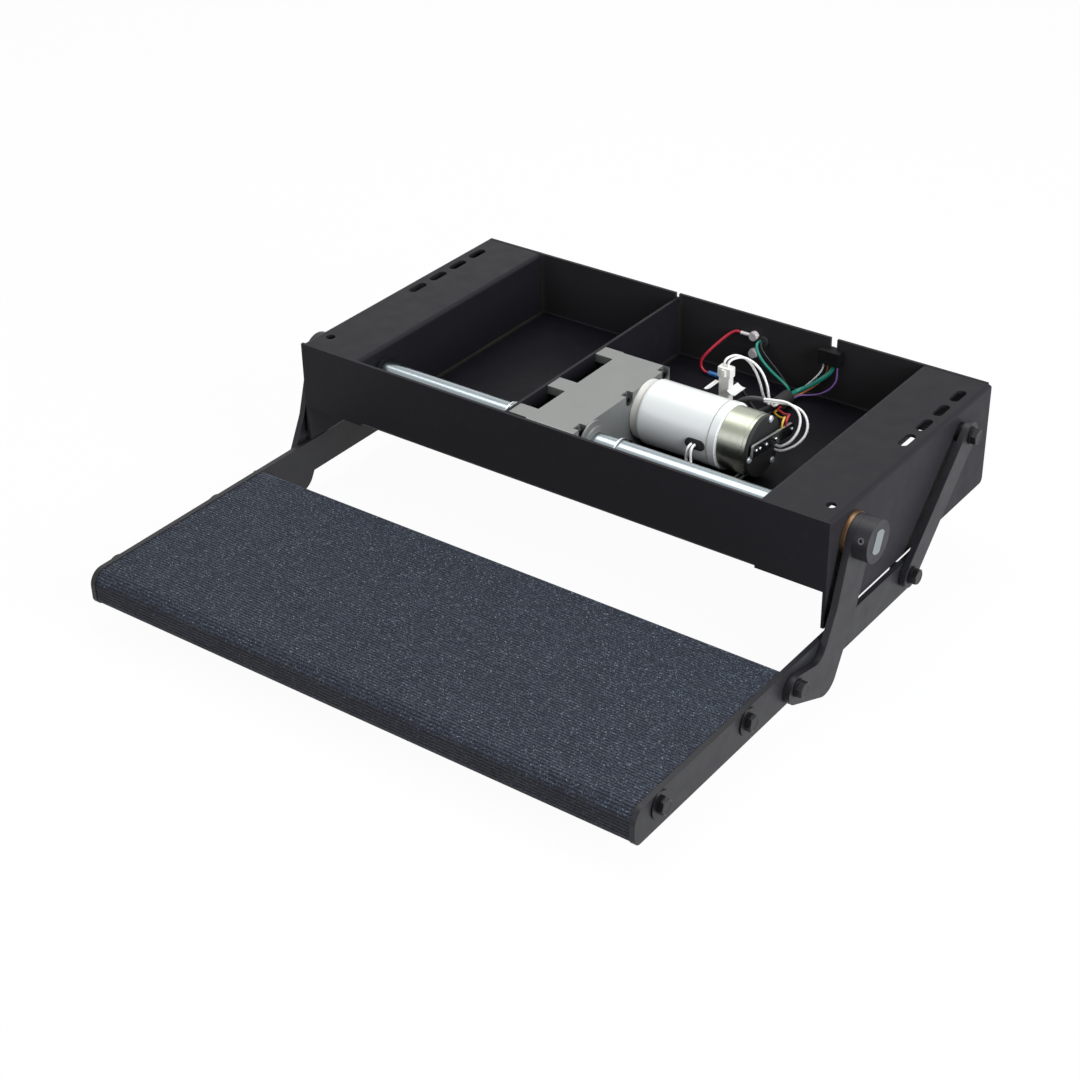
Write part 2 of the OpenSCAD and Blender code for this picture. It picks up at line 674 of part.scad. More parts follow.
// Hex bolts up through the tray floor into the gear case.
module case_bolts() {
    color("#8d9094") for (p = case_bolt_spots) translate([p[0], p[1], 0]) {
        translate([0, 0, -tray_h - case_bolt_head])
            cylinder(h = case_bolt_head, d = 10 / cos(30), $fn = 6);
        translate([0, 0, -tray_h - 0.1]) cylinder(h = sheet_t + case_bolt_bite, r = case_bolt_r);
    }
}

// Motor

module motor_flange() {
    color("#9fa2a5") difference() {
        bar_x(case_right, can_x, motor_r - 3, motor_p);
        bar_x(case_right - 1, can_x + 1, output_r + running_fit, motor_p);
    }
}

// White can: rounded front rim, plain barrel, a groove and a proud band at the plated end.
module motor_can() {
    band = 8;
    groove = 1.2;
    lip = 0.8;
    rim = 4;
    color("#eceeea") translate([can_x, motor_p[0], motor_p[1]]) rotate([0, 90, 0]) difference() {
        rotate_extrude() {
            square([can_skin - rim, can_l]);
            translate([0, rim]) square([can_skin, can_l - rim - band - groove]);
            translate([can_skin - rim, rim]) circle(rim);
            translate([0, rim + 1]) square([can_skin - lip, can_l - rim - 1]);
            translate([0, can_l - band]) square([motor_r, band - lip]);
        }
        translate([0, 0, -1]) cylinder(h = output_bite + 1.5, r = output_r + running_fit);
    }
}

// Plated end section, stepped in before the end cap.
module plated_section() {
    color("#c9cccf") translate([plated_x, motor_p[0], motor_p[1]]) rotate([0, 90, 0]) rotate_extrude() {
        square([plated_r - 0.4, plated_l]);
        square([plated_r, plated_l - 3]);
    }
}

module motor_end_cap() {
    color("#1b1b1d") difference() {
        translate([cap_x, motor_p[0], motor_p[1]]) rotate([0, 90, 0]) rotate_extrude() polygon([
            [0, 0], [plated_r - 0.3, 0], [plated_r - 0.3, cap_t - 0.6], [plated_r - 0.9, cap_t], [0, cap_t]]);
        for (a = cap_screw_angles) bar_x(cap_x + 1, cap_face + 1, 1.5 + fit, cap_screw_p(a));
    }
}

function cap_screw_p(a) = motor_p + cap_screw_ring * [cos(a), sin(a)];

// A round-topped head of radius r and height h, standing on the XY plane.
module domed_head(r, h) {
    edge = 0.7 * h;
    rotate_extrude() intersection() {
        union() {
            square([r - edge, h]);
            translate([r - edge, h - edge]) circle(edge);
        }
        square([r, h]);
    }
}

// Domed screws round the end cap.
module cap_screws() {
    color("#d6d9db") for (a = cap_screw_angles) translate([cap_face, cap_screw_p(a)[0], cap_screw_p(a)[1]])
        rotate([0, 90, 0]) {
            domed_head(2.5, 2.2);
            translate([0, 0, 1.2 - cap_t]) cylinder(h = cap_t - 1.1, r = 1.5);
        }
}

// Terminal strip held off the end cap by two posts.
module terminal_board() {
    color("#202022") {
        translate([0, term_c[0], term_c[1]]) rotate([term_tilt, 0, 0]) {
            along_x(term_x, term_x + term_t) rounded_box(-term_l / 2, term_l / 2, -term_h / 2, term_h / 2,
                [2, 5, 5, 2]);
            for (y = term_posts) bar_x(cap_face, term_x + 0.1, 3, [y, 0]);
        }
    }
}

// Rivets and solder heads of the terminal strip.
module board_rivets() {
    color("#d6d9db") translate([0, term_c[0], term_c[1]]) rotate([term_tilt, 0, 0])
        for (y = rivet_spots) translate([term_x + term_t, y, 0]) rotate([0, 90, 0]) domed_head(2, 1.5);
}

// Oval rubber grommet that hugs the front of the can.
module lead_grommet() {
    half = (grommet_l - grommet_h) / 2;
    color("#161617") difference() {
        intersection() {
            bar_x(grommet_x - grommet_l, grommet_x + grommet_l, can_skin + grommet_t, motor_p);
            translate([grommet_x, motor_p[0] - motor_r + 8, motor_p[1]]) rotate([90, 0, 0])
                linear_extrude(20) slug([-half, 0], grommet_h / 2, [half, 0], grommet_h / 2);
        }
        bar_x(grommet_x - 2 * grommet_l, grommet_x + 2 * grommet_l, can_skin, motor_p);
        for (x = lead_x) bar_y(lead_y - 10, lead_y + 10, lead_r + fit, [x, motor_p[1]]);
    }
}

// Wiring

module plug_half(z0, z1, w, d) {
    translate([plug_p[0], plug_p[1], z0]) linear_extrude(z1 - z0)
        rounded_box(-w / 2, w / 2, -d / 2, d / 2, [1, 1, 1, 1]);
}

// Upper half of the wire connector, a size larger, with its latch.
module plug_upper() {
    latch = [4, 2, 7];
    color("#e6e2cf") {
        plug_half(plug_split, plug_top, plug_w, plug_d);
        translate([plug_p[0] - latch[0] / 2, plug_p[1] - plug_d / 2 - 1.6, plug_split + 1]) cube(latch);
    }
}

// Lower half of the wire connector.
module plug_lower() {
    color("#f0f0ea") plug_half(plug_low, plug_split, plug_w - 2.5, plug_d - 1);
}

// Connector of the vehicle's loom, clipped through the back plate.
module loom_connector() {
    x0 = loom_p[0] - loom_w / 2;
    z0 = loom_p[1] - loom_h / 2;
    color("#18181a") difference() {
        union() {
            translate([x0, wall_y - loom_in, z0]) cube([loom_w, loom_in, loom_h - 1.2]);
            translate([x0 + 2.1, wall_y - 1, z0 + 2.1]) cube([loom_w - 4.2, sheet_t + 5, loom_h - 5.2]);
        }
        translate([x0 + 4, back_y + 0.5, z0 + 4]) cube([loom_w - 8, 6, loom_h - 9]);
    }
}

module wall_grommet() {
    color("#161617") {
        bar_y(aft_y(grommet_y), wall_y, wall_grommet_r, wall_grommet_p);
        bar_y(wall_y - 0.1, back_y, 4, wall_grommet_p);
        bar_y(back_y, back_y + 1.5, wall_grommet_r, wall_grommet_p);
    }
}

// Pan-head screws with nuts behind the back plate.
module earth_screws() {
    color("#c9cccf") for (p = earth_spots) {
        bar_y(wall_y - lug_t_ring - 3, wall_y - lug_t_ring, 4.2, p);
        bar_y(wall_y - lug_t_ring - 0.1, back_y + 4, 2.5, p);
        translate([p[0], back_y + 3.5, p[1]]) rotate([90, 0, 0]) cylinder(h = 3.5, d = 8 / cos(30), $fn = 6);
    }
}

// Ring lugs under the two screws, one with the barrel that grips the red lead.
module ring_lug() {
    color("#d9d6c8") {
        for (p = earth_spots) difference() {
            bar_y(wall_y - lug_t_ring, wall_y, lug_ring_r, p);
            bar_y(wall_y - 3, wall_y + 1, 2.5 + fit, p);
        }
        bar_x(lug_barrel_x, earth_spots[0][0] - 4.3, lug_barrel_r, [aft_y(lug_y), earth_spots[0][1]]);
    }
}

module crimp_splice() {
    color("#2b6ca8") bar_x(crimp_x[0], crimp_x[1], crimp_r, crimp_p);
}

module loom_wrap() {
    color("#1a1a1c") bar_y(aft_y(wrap_front), aft_y(wrap_rear), wrap_r, wrap_p);
}

module motor_leads() {
    color("#f1f1ee") {
        wire(motor_lead_a, lead_r);
        wire(motor_lead_b, lead_r);
    }
}

module plug_leads() {
    color("#f1f1ee") {
        wire(plug_lead_a, lead_r);
        wire(plug_lead_b, lead_r);
    }
}

module earth_leads() {
    color("#1f8f7f") {
        wire(earth_lead, lead_r + 0.3);
        wire(wall_lead, thin_r);
    }
}

module loom_cable() {
    color("#1f8f7f") wire(loom_cable_route, cable_r, 3);
}

module red_lead() {
    color("#b3243a") wire(red_route, lead_r + 0.2);
}

module return_lead() {
    color("#1c1c1e") wire(return_route, lead_r);
}

module sleeved_cable() {
    color("#1c1c1e") wire(sleeved_route, sleeve_cable_r);
}

module cap_leads() {
    color("#f1f1ee") {
        wire(cap_lead_a, lead_r);
        wire(cap_lead_b, lead_r);
    }
}

module board_leads() {
    color("#c0392b") {
        wire(red_board_lead, board_lead_r);
        wire(yellow_board_lead, board_lead_r);
    }
}

module signal_leads() {
    color("#8e5aa8") {
        wire(white_signal, thin_r);
        wire(orange_signal, thin_r);
        wire(purple_signal, thin_r);
    }
}

// Upper pivots of the rear links

module link_bolts() {
    color("#1f1f21") both_sides() bolt_x(hub_x + side_gap + washer_t, half_w - sheet_t - nut_h - 2, link_top);
}

module link_washers() {
    color("#262628") both_sides() washer_x(hub_x + side_gap, link_top);
}

module link_nuts() {
    color("#262628") both_sides() nut_x(half_w - sheet_t - nut_h, link_top);
}

module link_spacers() {
    color("#3a3a3d") both_sides() difference() {
        bar_x(half_w, arm_x - side_gap, washer_d / 2 + 1, link_top);
        bar_x(half_w - 1, arm_x + 1, bolt_r + fit, link_top);
    }
}

// Drive shaft group

// Direction down the leg of the arm, and the direction square to it towards the back.
leg_d = [-sin(leg_lean), -cos(leg_lean)];
leg_n = [cos(leg_lean), -sin(leg_lean)];
// The knee's place down the leg and towards the back
knee_down = 61;
knee_back = 4.5;

// Round with two flats, the long way down the leg of the arm.
module two_flats(r, across) {
    translate(shaft_p) rotate(-leg_lean) intersection() {
        circle(r);
        square([across, 3 * r], center = true);
    }
}

// Bar with turned-down ends, each with two flats for the arm and its hub.
module drive_shaft() {
    left_end = hub_x + left_hub_l + shaft_proud;
    right_end = hub_x + hub_l + shaft_proud;
    color("#c4c8cb") difference() {
        union() {
            bar_x(-arm_x, arm_x, shaft_r, shaft_p);
            bar_x(-left_end, right_end, shaft_end_d / 2, shaft_p);
        }
        both_sides() for (s = [-1, 1]) translate([arm_x, shaft_p[0], shaft_p[1]]) rotate([-leg_lean, 0, 0])
            translate([0, s * (flats_w / 2 + shaft_r) - shaft_r, -shaft_d])
                cube([right_end, shaft_d, 2 * shaft_d]);
    }
}

// Collar that holds the shaft against the divider.
module shaft_collar() {
    color("#b9bdc0") difference() {
        bar_x(-divider_x - 12, -divider_x - 3, shaft_r + 2.5, shaft_p);
        bar_x(-divider_x - 14, -divider_x, shaft_r + fit, shaft_p);
    }
}

// Spring rings in the shaft, one beside the collar and one right of the gear case.
module shaft_rings() {
    color("#6f7376") for (x = [-divider_x - 15, case_right + 30]) difference() {
        bar_x(x, x + 1.8, shaft_r + 1.8, shaft_p);
        bar_x(x - 1, x + 3, shaft_r + fit, shaft_p);
    }
}

// Flat arm: round at the shaft, a leg down to the heel, and a toe forward to the tread pivot.
module arm_outline() {
    knee = shaft_p + knee_down * leg_d + knee_back * leg_n;
    heel = tread_p + [heel_back, -heel_down];
    toe = tread_p - [0, toe_down];
    slug(shaft_p, hub_r, knee, leg_w / 2);
    slug(knee, leg_w / 2, heel, heel_r);
    slug(heel, heel_r, toe, toe_r);
    crook(knee, leg_w / 2, heel, heel_r, toe, toe_r);
}

// Point where two lines meet.
function meet(p, u, q, v) = let (d = q - p)
    p + u * (d[0] * v[1] - d[1] * v[0]) / (u[0] * v[1] - u[1] * v[0]);
// Unit normal of the front or upper edge that touches two discs.
function edge_normal(p, r, q, s) = let (d = q - p, a = atan2(d[1], d[0]) - acos((r - s) / norm(d)))
    [cos(a), sin(a)];

// Fillet between the front edge of the leg and the upper edge of the toe.
module crook(k, kr, h, hr, t, tr) {
    m = edge_normal(k, kr, h, hr);
    n = edge_normal(h, hr, t, tr);
    u = [-m[1], m[0]];
    v = [-n[1], n[0]];
    c = meet(k + (kr + crook_r) * m, u, h + (hr + crook_r) * n, v);
    difference() {
        polygon([c, c - crook_r * n, meet(k + kr * m, u, h + hr * n, v) - 3 * (m + n), c - crook_r * m]);
        translate(c) circle(crook_r);
    }
}

module front_arm() {
    color("#2e2f33") difference() {
        along_x(arm_x, hub_x) arm_outline();
        along_x(arm_x - 1, hub_x + 1) two_flats(shaft_end_d / 2 + fit, flats_w + 2 * fit);
        bar_x(arm_x - 1, hub_x + 1, bolt_r + running_fit, tread_p);
    }
}

module right_front_arm() {
    front_arm();
}

module left_front_arm() {
    mirror([1, 0, 0]) front_arm();
}

// A hub of the given length on the outside of the right arm.
module hub(length) {
    difference() {
        bar_x(hub_x, hub_x + length, hub_r, shaft_p);
        along_x(hub_x - 1, hub_x + length + 1) two_flats(shaft_end_d / 2 + fit, flats_w + 2 * fit);
    }
}

// Hubs outside the arms: a short disc on the left, a long one with a threaded hole on the right.
module arm_hubs() {
    color("#232326") {
        difference() {
            hub(hub_l);
            grub_place() cylinder(h = hub_r, r = 3 + fit);
        }
        mirror([1, 0, 0]) hub(left_hub_l);
    }
}

// Axis of the grub screw, out of the shaft towards the front.
module grub_place() {
    translate([hub_x + hub_l / 2, shaft_p[0], shaft_p[1]]) rotate([90 - leg_lean, 0, 0])
        translate([0, 0, flats_w / 2]) children();
}

module grub_screw() {
    length = hub_r - flats_w / 2 - 1;
    color("#9a9da0") grub_place() difference() {
        translate([0, 0, fit]) cylinder(h = length, r = 3);
        translate([0, 0, length - 3]) cylinder(h = 4, d = 3 / cos(30), $fn = 6);
    }
}

// Lever on the shaft inside the case, with the pin for the rod.
module drive_lever() {
    color("#8f9397") difference() {
        union() {
            along_x(lever_x - lever_t, lever_x) slug(shaft_p, shaft_r + 3.5, lever_p, pin_r + 3);
            bar_x(lever_x - 1, rod_x + 0.2, pin_r, lever_p);
        }
        bar_x(lever_x - lever_t - 1, lever_x + 1, shaft_r + fit, shaft_p);
    }
}

// Rod between the lever and the crank.
module connecting_rod() {
    color("#7f8387") difference() {
        along_x(rod_x - rod_t, rod_x) slug(lever_p, rod_r, crank_p, rod_r);
        for (p = [lever_p, crank_p]) bar_x(rod_x - rod_t - 1, rod_x + 1, pin_r + running_fit + fit, p);
    }
}

// Crank on the gear motor's output shaft, with the pin for the rod.
module crank() {
    color("#8f9397") {
        along_x(web_x, web_x + web_t) slug(motor_p, output_r + 4, crank_p, pin_r + 3);
        bar_x(web_x + 5, can_x + output_bite, output_r, motor_p);
        bar_x(rod_x - rod_t - 0.2, web_x + 1, pin_r, crank_p);
    }
}

// Rear links

module rear_link() {
    color("#2e2f33") difference() {
        along_x(arm_x, hub_x) slug(link_top, link_w / 2, link_low, link_w / 2);
        bar_x(arm_x - 1, hub_x + 1, bolt_r + running_fit, link_top);
        bar_x(arm_x - 1, hub_x + 1, bolt_r + running_fit + fit, link_low);
    }
}

module right_rear_link() {
    rear_link();
}

module left_rear_link() {
    mirror([1, 0, 0]) rear_link();
}

// Tread

// The ribbed surface as distance along it: forward over the top, round the nosing and down the front.
top_run = board_d - nose_r - 1;
nose_run = nose_r * PI / 2;
front_run = board_t - nose_r - 6;
rib_count = floor((top_run + nose_run + front_run) / rib_pitch);

// Outward direction at distance s along the ribbed surface.
function skin_normal(s) = let (a = 90 * min(max((s - top_run) / nose_run, 0), 1)) [-sin(a), cos(a)];

// Point at height h over the ribbed surface, at distance s along it.
function skin(s, h) = [board_front + nose_r, board_top - nose_r]
    + [top_run - min(s, top_run), min(top_run + nose_run - s, 0)]
    + (nose_r - rib_h + h) * skin_normal(s);

// Outline of the board with its ribs: each rib has a sloping front and back and a flat crest.
module board_outline() {
    bottom = board_top - board_t;
    polygon(concat(
        [for (i = [0 : rib_count - 1]) let (s = (i + 0.15) * rib_pitch) each [
            skin(s, 0), skin(s + 0.22 * rib_pitch, rib_h),
            skin(s + 0.5 * rib_pitch, rib_h), skin(s + 0.72 * rib_pitch, 0)]],
        [[board_front + rib_h, bottom + 4], [board_front + rib_h + 4, bottom]],
        [[board_rear, bottom], [board_rear, board_top - rib_h]]));
}

// Hollow extrusion with round screw ports for the tread bolts.
module tread_board() {
    low = board_top - board_t + board_wall;
    high = board_top - rib_h - board_wall;
    middle = (bolt_y[0] + bolt_y[1]) / 2;
    cells = [[board_front + nose_wall, bolt_y[0] - bolt_wall],
        [bolt_y[0] + bolt_wall, middle - mid_web / 2],
        [middle + mid_web / 2, bolt_y[1] - bolt_wall],
        [bolt_y[1] + bolt_wall, board_rear - board_wall]];
    color("#3a4250") along_x(-board_x, board_x) difference() {
        board_outline();
        for (c = cells) rounded_box(c[0], c[1], low, high, [3, 3, 3, 3]);
        for (y = bolt_y) translate([y, bolt_z]) circle(bolt_r + fit);
    }
}

module tread_arm() {
    color("#2b2c30") difference() {
        along_x(board_x, tread_arm_x)
            rounded_box(tread_front, tread_arm_rear, arm_top - tread_arm_h, arm_top, tread_arm_corners);
        for (p = [tread_p, link_low]) bar_x(board_x - 1, tread_arm_x + 1, bolt_r + fit, p);
        for (y = bolt_y) bar_x(board_x - 1, tread_arm_x + 1, bolt_r + fit, [y, bolt_z]);
    }
}

module right_tread_arm() {
    tread_arm();
}

module left_tread_arm() {
    mirror([1, 0, 0]) tread_arm();
}

// Bolts that hold the board between its arms.
module tread_bolts() {
    color("#1f1f21") both_sides() for (y = bolt_y)
        bolt_x(tread_arm_x + washer_t, board_x - bolt_bite, [y, bolt_z]);
}

// Bolts of the lower pivots, fixed in the tread arms.
module pivot_bolts() {
    color("#1f1f21") both_sides() for (p = [tread_p, link_low])
        bolt_x(hub_x + side_gap + washer_t, board_x - nut_h - 2, p);
}

// Washers under the heads of all the tread's bolts, the wide ones on the board's own bolts.
module tread_washers() {
    color("#262628") both_sides() {
        for (y = bolt_y) washer_x(tread_arm_x, [y, bolt_z], tread_washer_d);
        for (p = [tread_p, link_low]) washer_x(hub_x + side_gap, p);
    }
}

module pivot_nuts() {
    color("#262628") both_sides() for (p = [tread_p, link_low]) nut_x(board_x - nut_h, p);
}

tray();
left_channel();
right_channel();
divider();
bronze_bushes();
wall_bushes();
gear_case();
case_cover();
cover_screws();
case_bolts();
motor_flange();
motor_can();
plated_section();
motor_end_cap();
cap_screws();
terminal_board();
board_rivets();
lead_grommet();
plug_upper();
plug_lower();
loom_connector();
wall_grommet();
earth_screws();
ring_lug();
crimp_splice();
loom_wrap();
motor_leads();
plug_leads();
earth_leads();
loom_cable();
red_lead();
return_lead();
sleeved_cable();
cap_leads();
board_leads();
signal_leads();
link_bolts();
link_washers();
link_nuts();
link_spacers();
drive_shaft();
shaft_collar();
shaft_rings();
left_front_arm();
right_front_arm();
arm_hubs();
grub_screw();
drive_lever();
connecting_rod();
crank();
left_rear_link();
right_rear_link();
tread_board();
left_tread_arm();
right_tread_arm();
tread_bolts();
pivot_bolts();
tread_washers();
pivot_nuts();
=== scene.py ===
"""Looks of the electric caravan step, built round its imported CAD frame.

Every sub-assembly is a class that dresses its own CAD nodes: plain parts get softened edges and a finish,
bolts and wires are grown by geometry nodes. Lengths are in metres, in the frame of the part, except for the
wires' routes, which repeat the CAD's points in millimetres.
"""

from __future__ import annotations

import json
import logging
import math
from collections.abc import Callable
from dataclasses import dataclass
from enum import Enum
from typing import ClassVar

import bmesh
import bpy
from mathutils import Matrix, Vector

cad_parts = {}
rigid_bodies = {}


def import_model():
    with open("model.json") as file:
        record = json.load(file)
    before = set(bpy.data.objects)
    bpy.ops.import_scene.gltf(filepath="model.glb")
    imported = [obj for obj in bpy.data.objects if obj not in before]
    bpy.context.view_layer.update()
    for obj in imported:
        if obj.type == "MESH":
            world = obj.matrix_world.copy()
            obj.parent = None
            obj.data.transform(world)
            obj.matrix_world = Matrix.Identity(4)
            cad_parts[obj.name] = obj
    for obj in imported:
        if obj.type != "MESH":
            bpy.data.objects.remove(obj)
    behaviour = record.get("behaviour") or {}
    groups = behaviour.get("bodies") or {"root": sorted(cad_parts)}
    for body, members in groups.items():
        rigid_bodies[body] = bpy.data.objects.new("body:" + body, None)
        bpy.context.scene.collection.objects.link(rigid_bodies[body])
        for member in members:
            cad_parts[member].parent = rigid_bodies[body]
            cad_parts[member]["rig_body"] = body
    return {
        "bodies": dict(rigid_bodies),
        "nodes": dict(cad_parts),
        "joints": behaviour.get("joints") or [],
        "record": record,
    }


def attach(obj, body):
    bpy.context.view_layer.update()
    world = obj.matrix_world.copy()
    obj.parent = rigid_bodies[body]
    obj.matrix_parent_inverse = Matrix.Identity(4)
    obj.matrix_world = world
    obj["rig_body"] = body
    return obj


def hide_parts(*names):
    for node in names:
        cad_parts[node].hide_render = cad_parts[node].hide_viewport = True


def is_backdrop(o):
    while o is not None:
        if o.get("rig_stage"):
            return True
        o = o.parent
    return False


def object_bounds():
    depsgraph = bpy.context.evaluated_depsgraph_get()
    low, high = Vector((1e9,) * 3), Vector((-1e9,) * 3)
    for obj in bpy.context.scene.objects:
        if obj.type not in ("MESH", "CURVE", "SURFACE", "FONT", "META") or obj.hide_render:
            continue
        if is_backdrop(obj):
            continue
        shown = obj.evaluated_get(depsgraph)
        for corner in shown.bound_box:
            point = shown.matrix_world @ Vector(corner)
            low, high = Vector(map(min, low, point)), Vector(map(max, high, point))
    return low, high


LOG = logging.getLogger("step")
Point = tuple[float, float, float]
Tree = bpy.types.NodeTree
Socket = bpy.types.NodeSocket

# Millimetres in a metre.
MM = 1000.0
WHITE = (1.0, 1.0, 1.0, 1.0)
# Noises: waves in a metre, finer layers and how strong those are.
CLOUD_NOISE = (22.0, 4.0, 0.5)
SMEAR_NOISE = (60.0, 5.0, 0.5)
DUST_NOISE = (130.0, 9.0, 0.75)
PATCH_NOISE = (45.0, 3.0, 0.5)
# Layers in the noise of grain and turning marks.
FINE_LAYERS = 3.0
# Middle part of a noise, where nearly all of its values lie.
NOISE_CORE = (0.3, 0.7)
CLEAR_COAT_ROUGHNESS = 0.08
# Before rounding, points nearer than this become one, and so do faces that differ by less than this angle.
MERGE_REACH = 1e-6
FLAT_ANGLE = math.radians(0.3)
# Edges sharper than this are rounded, in so many steps and this full.
ROUND_ANGLE = math.radians(40)
ROUND_STEPS = 2
ROUND_PROFILE = 0.7
# Shading breaks at edges sharper than this, and large faces set it with this weight out of 100.
CREASE_ANGLE = math.radians(24)
FACE_WEIGHT = 90
# A face looks along an axis when that axis makes up more than this of its normal.
FACING = 0.9
# Wires: distance between rings, points in a ring and steps between two points of the route.
WIRE_SPACING = 0.0016
WIRE_SIDES = 14
WIRE_STEPS = 16
# The studio floor lies this far below the part.
FLOOR_GAP = 0.0005


class Slot(str, Enum):
    """Material slots of the part's record."""

    BLACK_COAT = "black_coat"
    ARM_COAT = "arm_coat"
    TREAD_COAT = "tread_coat"
    ZINC = "zinc"
    INNER_STEEL = "inner_steel"
    BRONZE = "bronze"
    BLACK_STEEL = "black_steel"
    CAST_ALLOY = "cast_alloy"
    WHITE_ENAMEL = "white_enamel"
    BLACK_PLASTIC = "black_plastic"
    BLACK_RUBBER = "black_rubber"
    NYLON = "nylon"
    WHITE_WIRE = "white_wire"
    TEAL_WIRE = "teal_wire"
    RED_WIRE = "red_wire"
    BLACK_WIRE = "black_wire"
    VIOLET_WIRE = "violet_wire"
    BLUE_NYLON = "blue_nylon"


class Body(str, Enum):
    """Rigid bodies of the CAD frame that carry grown pieces."""

    HOUSING = "housing"
    TREAD = "tread_group"


def linear(code: str) -> tuple[float, float, float, float]:
    """Turns an sRGB hex colour into linear light.

    Args:
        code: Six hex digits with a leading hash.

    Returns:
        Red, green, blue and alpha as Blender's sockets take them.
    """
    parts = [int(code[i : i + 2], 16) / 255 for i in (1, 3, 5)]
    light = [c / 12.92 if c <= 0.04045 else ((c + 0.055) / 1.055) ** 2.4 for c in parts]
    return (light[0], light[1], light[2], 1.0)


def put(name: str, data: bpy.types.ID) -> bpy.types.Object:
    """Puts a new object into the scene.

    Args:
        name: Name of the object.
        data: Its mesh, light or camera.

    Returns:
        The object.
    """
    made = bpy.data.objects.new(name, data)
    bpy.context.scene.collection.objects.link(made)
    return made


def plain_mesh(holder: bpy.types.Object) -> bpy.types.Mesh:
    """Turns an object with its modifiers into a plain mesh.

    Args:
        holder: The object.

    Returns:
        A new mesh.
    """
    graph = bpy.context.evaluated_depsgraph_get()
    return bpy.data.meshes.new_from_object(holder.evaluated_get(graph), depsgraph=graph)


def shade_smooth(mesh: bpy.types.Mesh) -> None:
    """Shades a mesh smooth, with breaks at its sharp edges.

    Args:
        mesh: The mesh.
    """
    mesh.polygons.foreach_set("use_smooth", [True] * len(mesh.polygons))
    mesh.set_sharp_from_angle(angle=CREASE_ANGLE)


def add_node(
    tree: Tree, kind: str, inputs: dict[str | int, object] | None = None, **settings: object
) -> bpy.types.Node:
    """Adds a node, sets its properties and fills its inputs.

    Args:
        tree: Tree that gets the node.
        kind: Blender's name of the node type.
        inputs: Input name or number to a value, or to an output socket that is linked in.
        **settings: Properties of the node itself.

    Returns:
        The new node.
    """
    node = tree.nodes.new(kind)
    for key, value in settings.items():
        setattr(node, key, value)
    for key, value in (inputs or {}).items():
        if isinstance(value, Socket):
            tree.links.new(value, node.inputs[key])
        else:
            node.inputs[key].default_value = value
    return node


def add_noise(tree: Tree, place: Socket, waves: float, layers: float, strength: float = 0.5) -> Socket:
    """Adds a noise.

    Args:
        tree: Tree that gets it.
        place: Coordinates.
        waves: Waves in one unit of the coordinates.
        layers: Number of finer layers.
        strength: How strong the finer layers are.

    Returns:
        A value socket.
    """
    inputs = {"Vector": place, "Scale": waves, "Detail": layers, "Roughness": strength}
    return add_node(tree, "ShaderNodeTexNoise", inputs).outputs["Fac"]


def add_range(tree: Tree, value: Socket, source: tuple[float, float], target: tuple[float, float]) -> Socket:
    """Adds a map from one range of values to another, which ends at its limits.

    Args:
        tree: Tree that gets it.
        value: The value that is mapped.
        source: Ends of the range that it comes from.
        target: Values at those ends.

    Returns:
        A value socket.
    """
    ends = dict(zip(("From Min", "From Max", "To Min", "To Max"), (*source, *target)))
    return add_node(tree, "ShaderNodeMapRange", {"Value": value, **ends}).outputs["Result"]


def add_mix(tree: Tree, share: Socket, first: object, second: object) -> Socket:
    """Adds a mix of two colours.

    Args:
        tree: Tree that gets it.
        share: Share of the second colour.
        first: Colour or colour socket.
        second: Colour or colour socket.

    Returns:
        A colour socket.
    """
    mix = add_node(tree, "ShaderNodeMix", {"Factor": share, "A": first, "B": second}, data_type="RGBA")
    return mix.outputs["Result"]


def add_math(tree: Tree, operation: str, first: Socket, second: object = 0.0) -> Socket:
    """Adds a sum of one or two values.

    Args:
        tree: Tree that gets it.
        operation: Blender's name of the operation.
        first: First value.
        second: Second value or value socket, where the operation has one.

    Returns:
        A value socket.
    """
    return add_node(tree, "ShaderNodeMath", {0: first, 1: second}, operation=operation).outputs["Value"]


